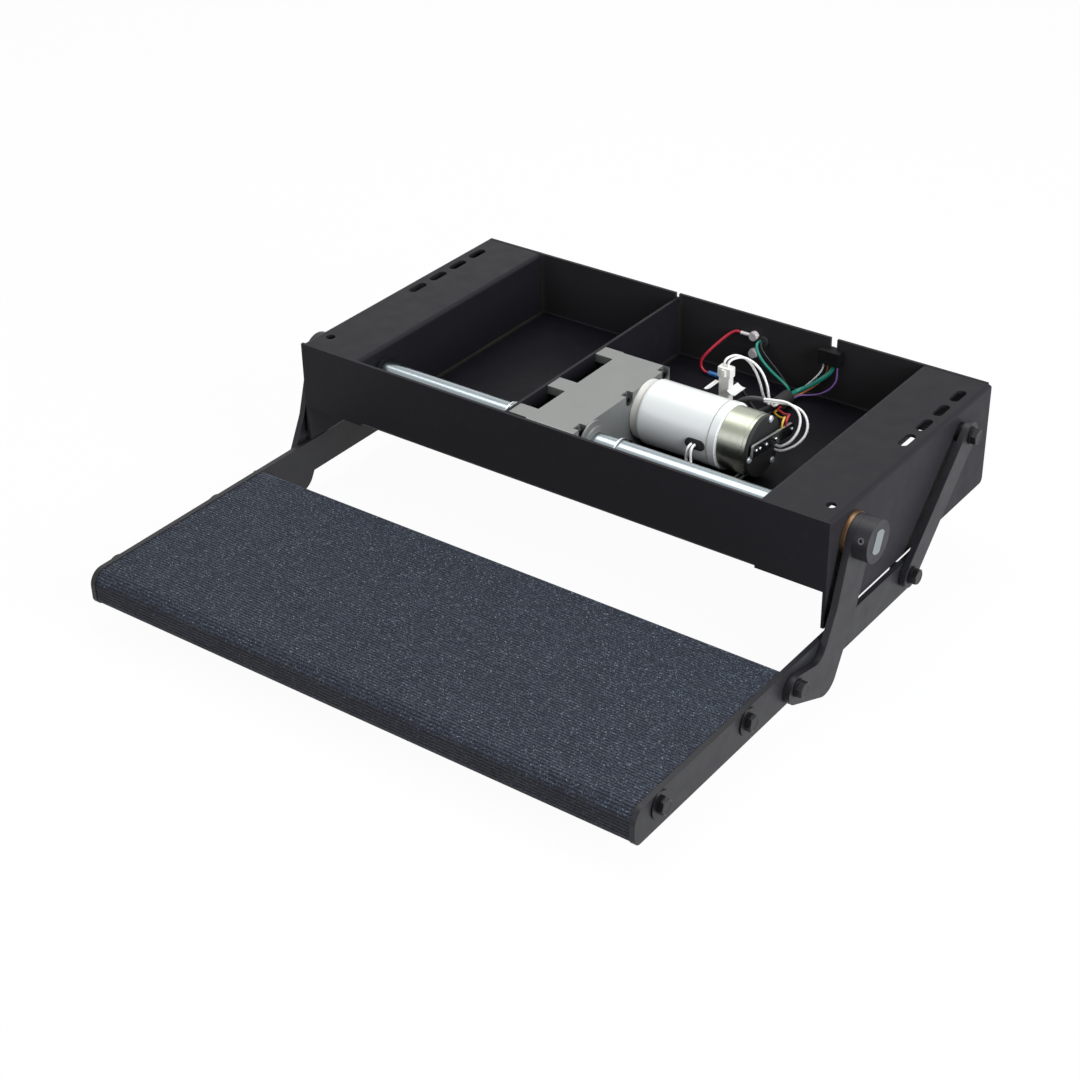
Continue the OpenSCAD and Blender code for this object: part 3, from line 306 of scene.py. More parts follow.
@dataclass(frozen=True)
class Finish:
    """A plain finish: one colour with a fine grain and a little unevenness in its gloss."""

    name: str
    # Slot of the record that this finish stands for.
    slot: Slot
    colour: str
    roughness: float
    metallic: float = 0.0
    # Size of one grain in metres, and how deep it is.
    grain: float = 0.0015
    depth: float = 0.0
    # How far the roughness wanders to each side.
    mottle: float = 0.05
    coat: float = 0.0
    # Strength of the mirror-like part of the light; 0.5 is plain plastic.
    specular: float = 0.5
    # How far the colour wanders to each side.
    cloud: float = 0.1

    def material(self) -> bpy.types.Material:
        """Builds the material once and hands out the same one after that.

        Returns:
            The material of this finish.
        """
        made = bpy.data.materials.get(self.name)
        if made is not None:
            return made
        made = bpy.data.materials.new(self.name)
        made.use_nodes = True
        tree = made.node_tree
        tree.nodes.clear()
        place = add_node(tree, "ShaderNodeTexCoord").outputs["Object"]
        shader = add_node(
            tree,
            "ShaderNodeBsdfPrincipled",
            {"Base Color": self.tint(tree, place), "Roughness": self.gloss(tree, place),
             "Metallic": self.metallic, "Coat Weight": self.coat, "Coat Roughness": CLEAR_COAT_ROUGHNESS,
             "Specular IOR Level": self.specular},
        )
        relief = self.relief(tree, place)
        if relief is not None:
            tree.links.new(relief, shader.inputs["Normal"])
        add_node(tree, "ShaderNodeOutputMaterial", {"Surface": shader.outputs["BSDF"]})
        return made

    def tint(self, tree: Tree, place: Socket) -> Socket:
        """Colour of the surface, with a faint cloudiness.

        Args:
            tree: Material tree.
            place: Object coordinates.

        Returns:
            A colour socket.
        """
        base = Vector(linear(self.colour)[:3])
        low, high = base * (1.0 - self.cloud), base * (1.0 + self.cloud)
        return add_mix(tree, add_noise(tree, place, *CLOUD_NOISE), (*low, 1.0), (*high, 1.0))

    def gloss(self, tree: Tree, place: Socket) -> Socket:
        """Roughness of the surface, uneven at the size of a fingertip.

        Args:
            tree: Material tree.
            place: Object coordinates.

        Returns:
            A value socket.
        """
        return self.wander(tree, add_noise(tree, place, *SMEAR_NOISE))

    def wander(self, tree: Tree, noise: Socket) -> Socket:
        """Lets the roughness follow a noise.

        Args:
            tree: Material tree.
            noise: The noise.

        Returns:
            A value socket.
        """
        low, high = self.roughness - self.mottle, self.roughness + self.mottle
        return add_range(tree, noise, NOISE_CORE, (low, high))

    def relief(self, tree: Tree, place: Socket) -> Socket | None:
        """Grain of the surface as a bump.

        Args:
            tree: Material tree.
            place: Object coordinates.

        Returns:
            A normal socket, or nothing for a smooth finish.
        """
        if self.depth == 0.0:
            return None
        return self.bump(tree, add_noise(tree, place, 1.0 / self.grain, FINE_LAYERS))

    def bump(self, tree: Tree, height: Socket) -> Socket:
        """Turns heights into a bump as deep as the finish has it.

        Args:
            tree: Material tree.
            height: Heights from zero to one.

        Returns:
            A normal socket.
        """
        made = add_node(tree, "ShaderNodeBump", {"Height": height, "Strength": 1.0, "Distance": self.depth})
        return made.outputs["Normal"]


@dataclass(frozen=True)
class PowderCoat(Finish):
    """Satin black powder coat with an orange-peel skin and a little pale handling dust."""

    grain: float = 0.0016
    depth: float = 0.00003
    dust: str = "#5a5a5c"
    dust_share: float = 0.10
    # Part of the dust noise over which specks come out.
    dust_core: tuple[float, float] = (0.56, 0.82)

    def tint(self, tree: Tree, place: Socket) -> Socket:
        """Black with sparse pale specks and rubs.

        Args:
            tree: Material tree.
            place: Object coordinates.

        Returns:
            A colour socket.
        """
        specks = add_noise(tree, place, *DUST_NOISE)
        share = add_range(tree, specks, self.dust_core, (0.0, self.dust_share))
        return add_mix(tree, share, linear(self.colour), linear(self.dust))


@dataclass(frozen=True)
class SeamedCoat(PowderCoat):
    """Powder coat on the tray's inner faces, with a dull line where an upright sheet is welded to it."""

    seam: str = "#5c574b"
    seam_share: float = 0.7
    # Where the welds lie in X, and how far each reaches to the side.
    seams: tuple[float, ...] = (-0.2125, -0.0485)
    seam_reach: float = 0.0055

    def tint(self, tree: Tree, place: Socket) -> Socket:
        """Black with a dull brown line along each weld.

        Args:
            tree: Material tree.
            place: Object coordinates.

        Returns:
            A colour socket.
        """
        shade = super().tint(tree, place)
        across = add_node(tree, "ShaderNodeSeparateXYZ", {"Vector": place}).outputs["X"]
        patchy = add_noise(tree, place, *PATCH_NOISE)
        for seam in self.seams:
            away = add_math(tree, "ABSOLUTE", add_math(tree, "SUBTRACT", across, seam))
            share = add_range(tree, away, (0.0, self.seam_reach), (self.seam_share, 0.0))
            shade = add_mix(tree, add_math(tree, "MULTIPLY", share, patchy), shade, linear(self.seam))
        return shade


@dataclass(frozen=True)
class GritCoat(Finish):
    """Slip-proof coat of the tread: dark blue-grey with bright mineral flakes."""

    flake: str = "#8796a8"
    # Length of a flake along the ribs, and its width.
    flake_size: tuple[float, float] = (0.0011, 0.0006)
    flake_share: float = 0.3
    flake_mix: float = 0.33
    # A few flakes get a painted glint, as if they caught the light.
    spark: str = "#d3dbe2"
    spark_share: float = 0.03
    spark_mix: float = 0.4
    # Below this height, on the nose, back edge and underside, the coat is painted darker as painted shade; it
    # sets in over this drop.
    nose_below: float = -0.111
    nose_fade: float = 0.004
    nose: str = "#242326"
    nose_mix: float = 0.6

    def cells(self, tree: Tree, place: Socket) -> bpy.types.Node:
        """Cells of the size of a flake, long along the ribs.

        Args:
            tree: Material tree.
            place: Object coordinates.

        Returns:
            The cell texture.
        """
        long, wide = self.flake_size
        squeeze = add_node(
            tree, "ShaderNodeMapping", {"Vector": place, "Scale": (1.0 / long, 1.0 / wide, 1.0 / wide)}
        )
        return add_node(tree, "ShaderNodeTexVoronoi", {"Vector": squeeze.outputs["Vector"], "Scale": 1.0})

    def tint(self, tree: Tree, place: Socket) -> Socket:
        """Dark ground with a pale flake in some of the cells, a painted glint in a few of them, and painted
        shade below the top face.

        Args:
            tree: Material tree.
            place: Object coordinates.

        Returns:
            A colour socket.
        """
        pick = add_node(tree, "ShaderNodeSeparateColor", {"Color": self.cells(tree, place).outputs["Color"]})
        shown = add_range(tree, pick.outputs["Red"], (1.0 - self.flake_share, 1.0), (0.0, self.flake_mix))
        shade = add_mix(tree, shown, super().tint(tree, place), linear(self.flake))
        # Painted glint on a few flakes.
        bright = add_range(tree, pick.outputs["Green"], (1.0 - self.spark_share, 1.0), (0.0, self.spark_mix))
        shade = add_mix(tree, bright, shade, linear(self.spark))
        # Painted shade: darker below the top face, on the nose, back edge and underside.
        height = add_node(tree, "ShaderNodeSeparateXYZ", {"Vector": place}).outputs["Z"]
        edge = (self.nose_below - self.nose_fade, self.nose_below)
        nose_shade = add_range(tree, height, edge, (self.nose_mix, 0.0))
        return add_mix(tree, nose_shade, shade, linear(self.nose))

    def relief(self, tree: Tree, place: Socket) -> Socket:
        """Each flake stands up by its own amount.

        Args:
            tree: Material tree.
            place: Object coordinates.

        Returns:
            A normal socket.
        """
        return self.bump(tree, self.cells(tree, place).outputs["Distance"])


@dataclass(frozen=True)
class TurnedMetal(Finish):
    """Bright metal with fine marks round the X axis, as left by turning or rolling."""

    mark: float = 0.0006
    # Waves in a metre round the axis.
    around: float = 30.0

    def gloss(self, tree: Tree, place: Socket) -> Socket:
        """Roughness in narrow rings along X.

        Args:
            tree: Material tree.
            place: Object coordinates.

        Returns:
            A value socket.
        """
        scale = (1.0 / self.mark, self.around, self.around)
        squeeze = add_node(tree, "ShaderNodeMapping", {"Vector": place, "Scale": scale})
        return self.wander(tree, add_noise(tree, squeeze.outputs["Vector"], 1.0, FINE_LAYERS))


# Satin black powder coat on the folded housing.
HOUSING_COAT = PowderCoat("powder_coat_housing", Slot.BLACK_COAT, "#252427", 0.5, specular=0.08)
# Tray floor, painted darker than the outer faces: painted shade that falls between the walls.
FLOOR_SHADE_COAT = SeamedCoat("powder_coat_floor", Slot.BLACK_COAT, "#121116", 0.48, specular=0.08)
# Inner face of the back plate, painted lighter than the outer faces: painted light that falls on it.
BACK_LIGHT_COAT = SeamedCoat("powder_coat_back", Slot.BLACK_COAT, "#2b2a2b", 0.5, specular=0.14)
# Walls of the two bays and the divider, painted a shade darker than the outer faces: painted shade.
WALL_SHADE_COAT = PowderCoat("powder_coat_walls", Slot.BLACK_COAT, "#1a191d", 0.5, specular=0.1)
# The same coat on laser-cut flat steel, a touch glossier.
ARM_COAT = PowderCoat("powder_coat_arms", Slot.ARM_COAT, "#212124", 0.45, specular=0.24)
# Mineral-flake grip coat on the aluminium tread.
TREAD_COAT = GritCoat(
    "grit_coat_tread", Slot.TREAD_COAT, "#292d36", 0.55, depth=0.00016, mottle=0.1, specular=0.18, cloud=0.2
)
# Bright zinc on the cross shaft.
ZINC = Finish("zinc_shaft", Slot.ZINC, "#8d969a", 0.22, 1.0, mottle=0.02)
# Bright zinc on small pressed parts and screws.
ZINC_SMALL = Finish("zinc_small_parts", Slot.ZINC, "#c9ccd0", 0.28, 1.0, mottle=0.08)
# Zinc on the end cap's screws, painted lighter and less metallic than zinc so that they show painted
# highlights also in shade.
CAP_ZINC_LIT = Finish("chromated_zinc_screws", Slot.ZINC, "#e2e6e9", 0.24, 0.5, mottle=0.04)
# Phosphated steel of the grub screw, dark grey.
PHOSPHATED = Finish("phosphated_steel", Slot.ZINC, "#5b5c5f", 0.42, 0.8, mottle=0.04)
# Nickel-bright shell of the motor's end section.
PLATED = TurnedMetal("nickel_motor_end", Slot.ZINC, "#989b8e", 0.33, 1.0, mottle=0.04, mark=0.0009)
# Oiled bare steel inside the gear case.
INNER_STEEL = Finish("oiled_steel", Slot.INNER_STEEL, "#8a8d90", 0.35, 1.0)
# Sintered bronze, oily and matt.
BRONZE = TurnedMetal("sintered_bronze", Slot.BRONZE, "#7b6148", 0.45, 1.0, mottle=0.06)
# Black oxide on bolts and washers.
BLACK_STEEL = Finish("black_oxide_steel", Slot.BLACK_STEEL, "#1b1b1d", 0.4, 0.6, grain=0.001, depth=0.00001)
# Bare die-cast aluminium with a sandy skin.
CAST_ALLOY = Finish(
    "die_cast_aluminium", Slot.CAST_ALLOY, "#7c7e7b", 0.5, 0.6, grain=0.0009, depth=0.00003, mottle=0.03,
    cloud=0.07,
)
# Glossy white skin of the motor can.
WHITE_ENAMEL = Finish("white_enamel", Slot.WHITE_ENAMEL, "#e5e3d9", 0.32, coat=0.1, mottle=0.03, cloud=0.02)
# Off-white paint on the motor's mounting flange, a shade greyer than the can.
GREY_ENAMEL = Finish("grey_enamel", Slot.CAST_ALLOY, "#e2e1da", 0.45, mottle=0.03, cloud=0.02)
# Moulded black plastic.
BLACK_PLASTIC = Finish("black_plastic", Slot.BLACK_PLASTIC, "#161617", 0.45, grain=0.0007, depth=0.00001)
# Matt black nylon of the loom connector and the shaft's bushes.
MATT_PLASTIC = Finish("matt_black_nylon", Slot.BLACK_PLASTIC, "#0a0a0b", 0.65, specular=0.15)
# Phenolic sheet of the terminal board: glossy black face, and a pale cut edge whose colour also carries a
# painted highlight.
PHENOLIC_FACE = Finish("phenolic_face", Slot.BLACK_PLASTIC, "#131314", 0.28)
PHENOLIC_EDGE_HIGHLIGHT = Finish("phenolic_edge", Slot.BLACK_PLASTIC, "#8d918b", 0.5)
# Tinned steel of the earth screws and lugs, dull and pale.
TINNED = Finish("tinned_steel", Slot.ZINC, "#d8d3d1", 0.42, 0.25, mottle=0.06)
# Soft black rubber.
BLACK_RUBBER = Finish("black_rubber", Slot.BLACK_RUBBER, "#121212", 0.6)
# Natural nylon of the connector.
NYLON = Finish("natural_nylon", Slot.NYLON, "#f0eee6", 0.42, mottle=0.03)
# Blue nylon of the crimp sleeve.
BLUE_NYLON = Finish("blue_nylon", Slot.BLUE_NYLON, "#2b62a0", 0.35)
# Wire insulation by colour.
WIRE_WHITE = Finish("wire_white", Slot.WHITE_WIRE, "#f2f2ee", 0.38, mottle=0.02)
WIRE_TEAL = Finish("wire_green", Slot.TEAL_WIRE, "#1a7d6b", 0.38, mottle=0.02)
WIRE_RED = Finish("wire_red", Slot.RED_WIRE, "#b02034", 0.38, mottle=0.02)
WIRE_YELLOW = Finish("wire_yellow", Slot.RED_WIRE, "#d8b43a", 0.38, mottle=0.02)
WIRE_BLACK = Finish("wire_black", Slot.BLACK_WIRE, "#19191a", 0.42, mottle=0.02)
WIRE_PURPLE = Finish("wire_purple", Slot.VIOLET_WIRE, "#7d5a9c", 0.38, mottle=0.02)
WIRE_ORANGE = Finish("wire_orange", Slot.VIOLET_WIRE, "#c06a35", 0.38, mottle=0.02)
# Blank white paper tags.
TAG_PAPER = Finish("tag_paper", Slot.NYLON, "#efefec", 0.6, mottle=0.02)


@dataclass(frozen=True)
class Skin:
    """How one CAD node is dressed: its finish and the width of its rounded edges."""

    node: str
    finish: Finish
    edge: float


class Bench:
    """Turns CAD nodes into finished pieces and keeps them on their bodies."""

    def __init__(self, frame: dict) -> None:
        """Takes the loaded frame.
        """
        self.nodes: dict[str, bpy.types.Object] = frame["nodes"]
        self.count = 0

    def place(self, name: str, mesh: bpy.types.Mesh, body: str, finish: Finish) -> bpy.types.Object:
        """Puts a mesh into the scene as a piece of a body.

        Args:
            name: Name of the new piece.
            mesh: Its mesh, in the part's frame.
            body: Name of the CAD body that carries it.
            finish: Its finish, which names its slot too.

        Returns:
            The new object.
        """
        piece = put(name, mesh)
        mesh.materials.clear()
        mesh.materials.append(finish.material())
        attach(piece, body)
        self.count += 1
        return piece

    def soften(self, skin: Skin) -> bpy.types.Object:
        """Stands a copy with rounded edges in for a CAD node.

        Args:
            skin: The node and how it is dressed.

        Returns:
            The new piece.
        """
        source = self.nodes[skin.node]
        work = bmesh.new()
        work.from_mesh(source.data)
        bmesh.ops.remove_doubles(work, verts=work.verts[:], dist=MERGE_REACH)
        bmesh.ops.dissolve_limit(
            work, angle_limit=FLAT_ANGLE, verts=work.verts[:], edges=work.edges[:],
            use_dissolve_boundaries=False,
        )
        sharp = [e for e in work.edges if len(e.link_faces) == 2 and e.calc_face_angle(0.0) > ROUND_ANGLE]
        bmesh.ops.bevel(
            work, geom=sharp, offset=skin.edge, offset_type="OFFSET", segments=ROUND_STEPS,
            profile=ROUND_PROFILE, affect="EDGES", clamp_overlap=True,
        )
        mesh = bpy.data.meshes.new(f"{skin.node}_soft")
        work.to_mesh(mesh)
        work.free()
        shade_smooth(mesh)
        piece = self.place(f"{skin.node}_skin", self.even_shading(mesh), source["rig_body"], skin.finish)
        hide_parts(skin.node)
        return piece

    @staticmethod
    def even_shading(mesh: bpy.types.Mesh) -> bpy.types.Mesh:
        """Lets large faces set the shading, so that sheets look flat right up to their rounded edges.

        Args:
            mesh: Mesh with smooth faces and marked sharp edges; it is used up.

        Returns:
            The same shape with evened normals.
        """
        holder = put(mesh.name, mesh)
        weigh = holder.modifiers.new("even", "WEIGHTED_NORMAL")
        weigh.keep_sharp = True
        weigh.weight = FACE_WEIGHT
        even = plain_mesh(holder)
        bpy.data.objects.remove(holder)
        bpy.data.meshes.remove(mesh)
        return even

    @staticmethod
    def second_finish(
        piece: bpy.types.Object, finish: Finish, rule: Callable[[bpy.types.MeshPolygon], bool]
    ) -> None:
        """Gives some faces of a piece another finish.

        Args:
            piece: The piece.
            finish: Finish of the chosen faces.
            rule: Tells whether a face is chosen.
        """
        mesh = piece.data
        mesh.materials.append(finish.material())
        for face in mesh.polygons:
            if rule(face):
                face.material_index = len(mesh.materials) - 1

    @staticmethod
    def widen_heads(piece: bpy.types.Object, reach: float, factor: float) -> None:
        """Widens each round head of a group about its own axis along X.

        Args:
            piece: The group, with heads farther apart than the reach.
            reach: Distance in Y and Z within which points belong to one head.
            factor: How much wider the heads become.
        """
        heads: list[list[bpy.types.MeshVertex]] = []
        for point in piece.data.vertices:
            near = [head for head in heads if (head[0].co.yz - point.co.yz).length < reach]
            if near:
                near[0].append(point)
            else:
                heads.append([point])
        for head in heads:
            ys, zs = [p.co.y for p in head], [p.co.z for p in head]
            middle = Vector((0.0, (min(ys) + max(ys)) / 2, (min(zs) + max(zs)) / 2))
            for point in head:
                offset = point.co - middle
                point.co = middle + Vector((offset.x, offset.y * factor, offset.z * factor))

    def paint(self, node: str, finish: Finish) -> None:
        """Gives a CAD node its finish and leaves its shape as it is.

        Args:
            node: Name of the CAD node.
            finish: Finish of the node.
        """
        data = self.nodes[node].data
        data.materials.clear()
        data.materials.append(finish.material())


class Grower:
    """Geometry-node trees for wires and fasteners, turned into plain meshes once grown."""

    def __init__(self) -> None:
        """Builds both trees."""
        self.wire_tree = self._wire_tree()
        self.bolt_tree = self._bolt_tree()

    @staticmethod
    def _new_tree(name: str, sockets: dict[str, str]) -> tuple[Tree, bpy.types.Node]:
        """Makes a geometry tree that takes geometry, more named inputs and a material.

        Args:
            name: Name of the tree.
            sockets: Kind of socket by the name of each further input.

        Returns:
            The tree and its input node.
        """
        tree = bpy.data.node_groups.new(name, "GeometryNodeTree")
        tree.is_modifier = True
        for label, kind in {"Geometry": "Geometry", **sockets, "Material": "Material"}.items():
            tree.interface.new_socket(label, in_out="INPUT", socket_type=f"NodeSocket{kind}")
        tree.interface.new_socket("Geometry", in_out="OUTPUT", socket_type="NodeSocketGeometry")
        return tree, tree.nodes.new("NodeGroupInput")

    @staticmethod
    def _close(tree: Tree, start: bpy.types.Node, shape: Socket) -> None:
        """Ends a tree with plain geometry in the material that it was given.

        Args:
            tree: The tree.
            start: Its input node.
            shape: What was grown.
        """
        whole = add_node(tree, "GeometryNodeRealizeInstances", {"Geometry": shape})
        skin = add_node(
            tree,
            "GeometryNodeSetMaterial",
            {"Geometry": whole.outputs["Geometry"], "Material": start.outputs["Material"]},
        )
        add_node(tree, "NodeGroupOutput", {"Geometry": skin.outputs["Geometry"]})

    def _wire_tree(self) -> Tree:
        """A smooth round wire through the points of a polyline.

        Returns:
            The tree.
        """
        tree, start = self._new_tree(
            "wire_along_route", {"Radius": "Float", "Spacing": "Float", "Sides": "Int"}
        )
        line = add_node(tree, "GeometryNodeMeshToCurve", {"Mesh": start.outputs["Geometry"]})
        smooth = add_node(
            tree, "GeometryNodeCurveSplineType", {"Curve": line.outputs["Curve"]}, spline_type="CATMULL_ROM"
        )
        fine = add_node(
            tree,
            "GeometryNodeSetSplineResolution",
            {"Geometry": smooth.outputs["Curve"], "Resolution": WIRE_STEPS},
        )
        even = add_node(
            tree,
            "GeometryNodeResampleCurve",
            {"Curve": fine.outputs["Geometry"], "Length": start.outputs["Spacing"]},
            mode="LENGTH",
        )
        ring = add_node(
            tree,
            "GeometryNodeCurvePrimitiveCircle",
            {"Resolution": start.outputs["Sides"], "Radius": start.outputs["Radius"]},
        )
        tube = add_node(
            tree,
            "GeometryNodeCurveToMesh",
            {"Curve": even.outputs["Curve"], "Profile Curve": ring.outputs["Curve"], "Fill Caps": True},
        )
        soft = add_node(tree, "GeometryNodeSetShadeSmooth", {"Geometry": tube.outputs["Mesh"]})
        self._close(tree, start, soft.outputs["Geometry"])
        return tree

    def _bolt_tree(self) -> Tree:
        """One fastener on each point, along X to the side that the point names, each turned its own way.

        Returns:
            The tree.
        """
        tree, start = self._new_tree("fasteners_on_points", {"Fastener": "Object", "Seed": "Int"})
        side = add_node(tree, "GeometryNodeInputNamedAttribute", {"Name": "side"}, data_type="FLOAT")
        tilt = add_math(tree, "MULTIPLY", side.outputs["Attribute"], math.pi / 2)
        aim = add_node(tree, "ShaderNodeCombineXYZ", {"Y": tilt})
        shape = add_node(tree, "GeometryNodeObjectInfo", {"Object": start.outputs["Fastener"]})
        copies = add_node(
            tree,
            "GeometryNodeInstanceOnPoints",
            {"Points": start.outputs["Geometry"], "Instance": shape.outputs["Geometry"],
             "Rotation": aim.outputs["Vector"]},
        )
        clock = add_node(
            tree,
            "FunctionNodeRandomValue",
            {"Min": (0.0, 0.0, 0.0), "Max": (0.0, 0.0, math.pi), "Seed": start.outputs["Seed"]},
            data_type="FLOAT_VECTOR",
        )
        turned = add_node(
            tree,
            "GeometryNodeRotateInstances",
            {"Instances": copies.outputs["Instances"], "Rotation": clock.outputs["Value"],
             "Local Space": True},
        )
        self._close(tree, start, turned.outputs["Instances"])
        return tree

    @staticmethod
    def _grow(name: str, base: bpy.types.Mesh, tree: Tree, values: dict[str, object]) -> bpy.types.Mesh:
        """Runs a tree on a base mesh.

        Args:
            name: Name of the mesh that comes out.
            base: Mesh that goes in.
            tree: Geometry tree.
            values: Input name to value.

        Returns:
            A plain mesh.
        """
        holder = put(f"{name}_base", base)
        modifier = holder.modifiers.new("grow", "NODES")
        modifier.node_group = tree
        for item in tree.interface.items_tree:
            if item.in_out == "INPUT" and item.name in values:
                modifier[item.identifier] = values[item.name]
        grown = plain_mesh(holder)
        grown.name = name
        bpy.data.objects.remove(holder)
        return grown

    def wire(self, name: str, route: list[Point], radius: float, finish: Finish) -> bpy.types.Mesh:
        """Grows one wire.

        Args:
            name: Name of the mesh.
            route: Points that the wire runs through.
            radius: Radius of the wire.
            finish: Its finish.

        Returns:
            The wire's mesh.
        """
        line = bpy.data.meshes.new(f"{name}_line")
        line.from_pydata(route, [(i, i + 1) for i in range(len(route) - 1)], [])
        size = {"Radius": radius, "Spacing": WIRE_SPACING, "Sides": WIRE_SIDES}
        return self._grow(name, line, self.wire_tree, {**size, "Material": finish.material()})

    def fasteners(
        self, name: str, fastener: bpy.types.Mesh, spots: list[tuple[Point, int]], finish: Finish, seed: int
    ) -> bpy.types.Mesh:
        """Grows a group of equal fasteners.

        Args:
            name: Name of the mesh.
            fastener: One fastener that points along +Z.
            spots: Place of each and the side it faces, 1 for +X and -1 for -X.
            finish: Their finish.
            seed: Seed for how each is turned.

        Returns:
            The group's mesh.
        """
        points = bpy.data.meshes.new(f"{name}_points")
        points.from_pydata([p for p, _ in spots], [], [])
        sides = points.attributes.new("side", "FLOAT", "POINT")
        sides.data.foreach_set("value", [float(s) for _, s in spots])
        model = put(f"{name}_model", fastener)
        values = {"Fastener": model, "Seed": seed, "Material": finish.material()}
        grown = self._grow(name, points, self.bolt_tree, values)
        bpy.data.objects.remove(model)
        return grown


@dataclass(frozen=True)
class HexBolt:
    """Hex bolt with a chamfered head on a plain shank, drawn along +Z with its head seat at z = 0."""

    length: float
    across: float = 0.013
    head: float = 0.0053
    shank_r: float = 0.004
    around: int = 48
    # Radius of the head's flat top over the width across flats, and the chamfer's fall in degrees.
    crown_share: float = 0.47
    chamfer: float = 30.0
    # Tip of the shank: its radius over the shank's, and its height.
    tip_share: float = 0.8
    tip: float = 0.0008
    # Shallow dish in the head: rim and bottom radius over the top's, and its depth.
    dish: tuple[float, float] = (0.8, 0.74)
    dish_depth: float = 0.0002

    def mesh(self) -> bpy.types.Mesh:
        """Draws the bolt ring by ring.

        Returns:
            Its mesh.
        """
        n = self.around
        crown = self.crown_share * self.across
        turns = [2 * math.pi * i / n for i in range(n)]
        reach = [self.across / 2 / math.cos((t + math.pi / 6) % (math.pi / 3) - math.pi / 6) for t in turns]
        fall = math.tan(math.radians(self.chamfer))
        edge = [self.head - max(0.0, r - crown) * fall for r in reach]
        # Radii and heights of the rings, from the tip up.
        rings = (
            ([self.shank_r * self.tip_share] * n, [-self.length] * n),
            ([self.shank_r] * n, [-self.length + self.tip] * n),
            ([self.shank_r] * n, [0.0] * n),
            (reach, [0.0] * n),
            (reach, edge),
            ([crown] * n, [self.head] * n),
            ([crown * self.dish[0]] * n, [self.head] * n),
            ([crown * self.dish[1]] * n, [self.head - self.dish_depth] * n),
        )
        points = [
            (r * math.cos(t), r * math.sin(t), z)
            for radii, heights in rings
            for r, z, t in zip(radii, heights, turns)
        ]
        faces: list[tuple[int, ...]] = [
            (k * n + i, k * n + (i + 1) % n, (k + 1) * n + (i + 1) % n, (k + 1) * n + i)
            for k in range(len(rings) - 1)
            for i in range(n)
        ]
        faces.append(tuple(range(n - 1, -1, -1)))
        faces.append(tuple(range((len(rings) - 1) * n, len(rings) * n)))
        mesh = bpy.data.meshes.new("hex_bolt")
        mesh.from_pydata(points, [], faces)
        shade_smooth(mesh)
        return mesh


class Group:
    """A sub-assembly with the CAD nodes that it dresses."""

    skins: ClassVar[tuple[Skin, ...]] = ()

    def dress(self, bench: Bench) -> dict[str, bpy.types.Object]:
        """Stands softened and finished pieces in for the group's nodes.

        Args:
            bench: Where pieces are made.

        Returns:
            The pieces by the names of their nodes.
        """
        return {skin.node: bench.soften(skin) for skin in self.skins}


class HousingShell(Group):
    """Tray, side channels and divider."""

    skins = (
        # The divider takes the painted shade of the bays' walls.
        Skin("divider", WALL_SHADE_COAT, 0.0006),
        Skin("left_channel", HOUSING_COAT, 0.0006),
        Skin("right_channel", HOUSING_COAT, 0.0006),
        Skin("tray", HOUSING_COAT, 0.0006),
    )
    # Faces that look up from below this height are the tray's floor, and those that look forward from behind
    # this place are the back plate's inner face.
    floor_below: ClassVar[float] = -0.05
    back_behind: ClassVar[float] = 0.25
    # The bays' walls are nearer to the middle than this.
    wall_within: ClassVar[float] = 0.23

    def dress(self, bench: Bench) -> dict[str, bpy.types.Object]:
        """Softens the sheets and gives their inner faces coats of their own: painted shade on the bays' walls
        and floor, painted light on the back plate.

        Args:
            bench: Where pieces are made.

        Returns:
            The pieces by the names of their nodes.
        """
        made = super().dress(bench)
        # Inner walls and floor get painted shade, the back plate's inner face painted light.
        for node, inward in (("left_channel", 1), ("right_channel", -1)):
            bench.second_finish(
                made[node],
                WALL_SHADE_COAT,
                lambda face: face.normal.x * inward > FACING and abs(face.center.x) < self.wall_within,
            )
        bench.second_finish(
            made["tray"],
            FLOOR_SHADE_COAT,
            lambda face: face.normal.z > FACING and face.center.z < self.floor_below,
        )
        bench.second_finish(
            made["tray"],
            BACK_LIGHT_COAT,
            lambda face: face.normal.y < -FACING and face.center.y > self.back_behind,
        )
        return made


class DriveShaft(Group):
    """Cross shaft with its bearings, arms, hubs and the lever in the gear case."""

    skins = (
        Skin("left_front_arm", ARM_COAT, 0.0007),
        Skin("right_front_arm", ARM_COAT, 0.0007),
        Skin("arm_hubs", ARM_COAT, 0.0012),
        Skin("drive_shaft", ZINC, 0.0003),
        Skin("shaft_collar", ZINC, 0.0003),
        Skin("shaft_rings", ZINC_SMALL, 0.0002),
        Skin("grub_screw", PHOSPHATED, 0.0002),
        Skin("drive_lever", INNER_STEEL, 0.0003),
        Skin("bronze_bushes", BRONZE, 0.0005),
        Skin("wall_bushes", MATT_PLASTIC, 0.0004),
    )


class GearCase(Group):
    """Die-cast gear case with its cover, screws and inner crank drive."""

    skins = (
        Skin("gear_case", CAST_ALLOY, 0.0010),
        Skin("case_cover", CAST_ALLOY, 0.0010),
        Skin("cover_screws", BLACK_STEEL, 0.0003),
        Skin("case_bolts", ZINC_SMALL, 0.0003),
        Skin("connecting_rod", INNER_STEEL, 0.0003),
        Skin("crank", INNER_STEEL, 0.0003),
    )


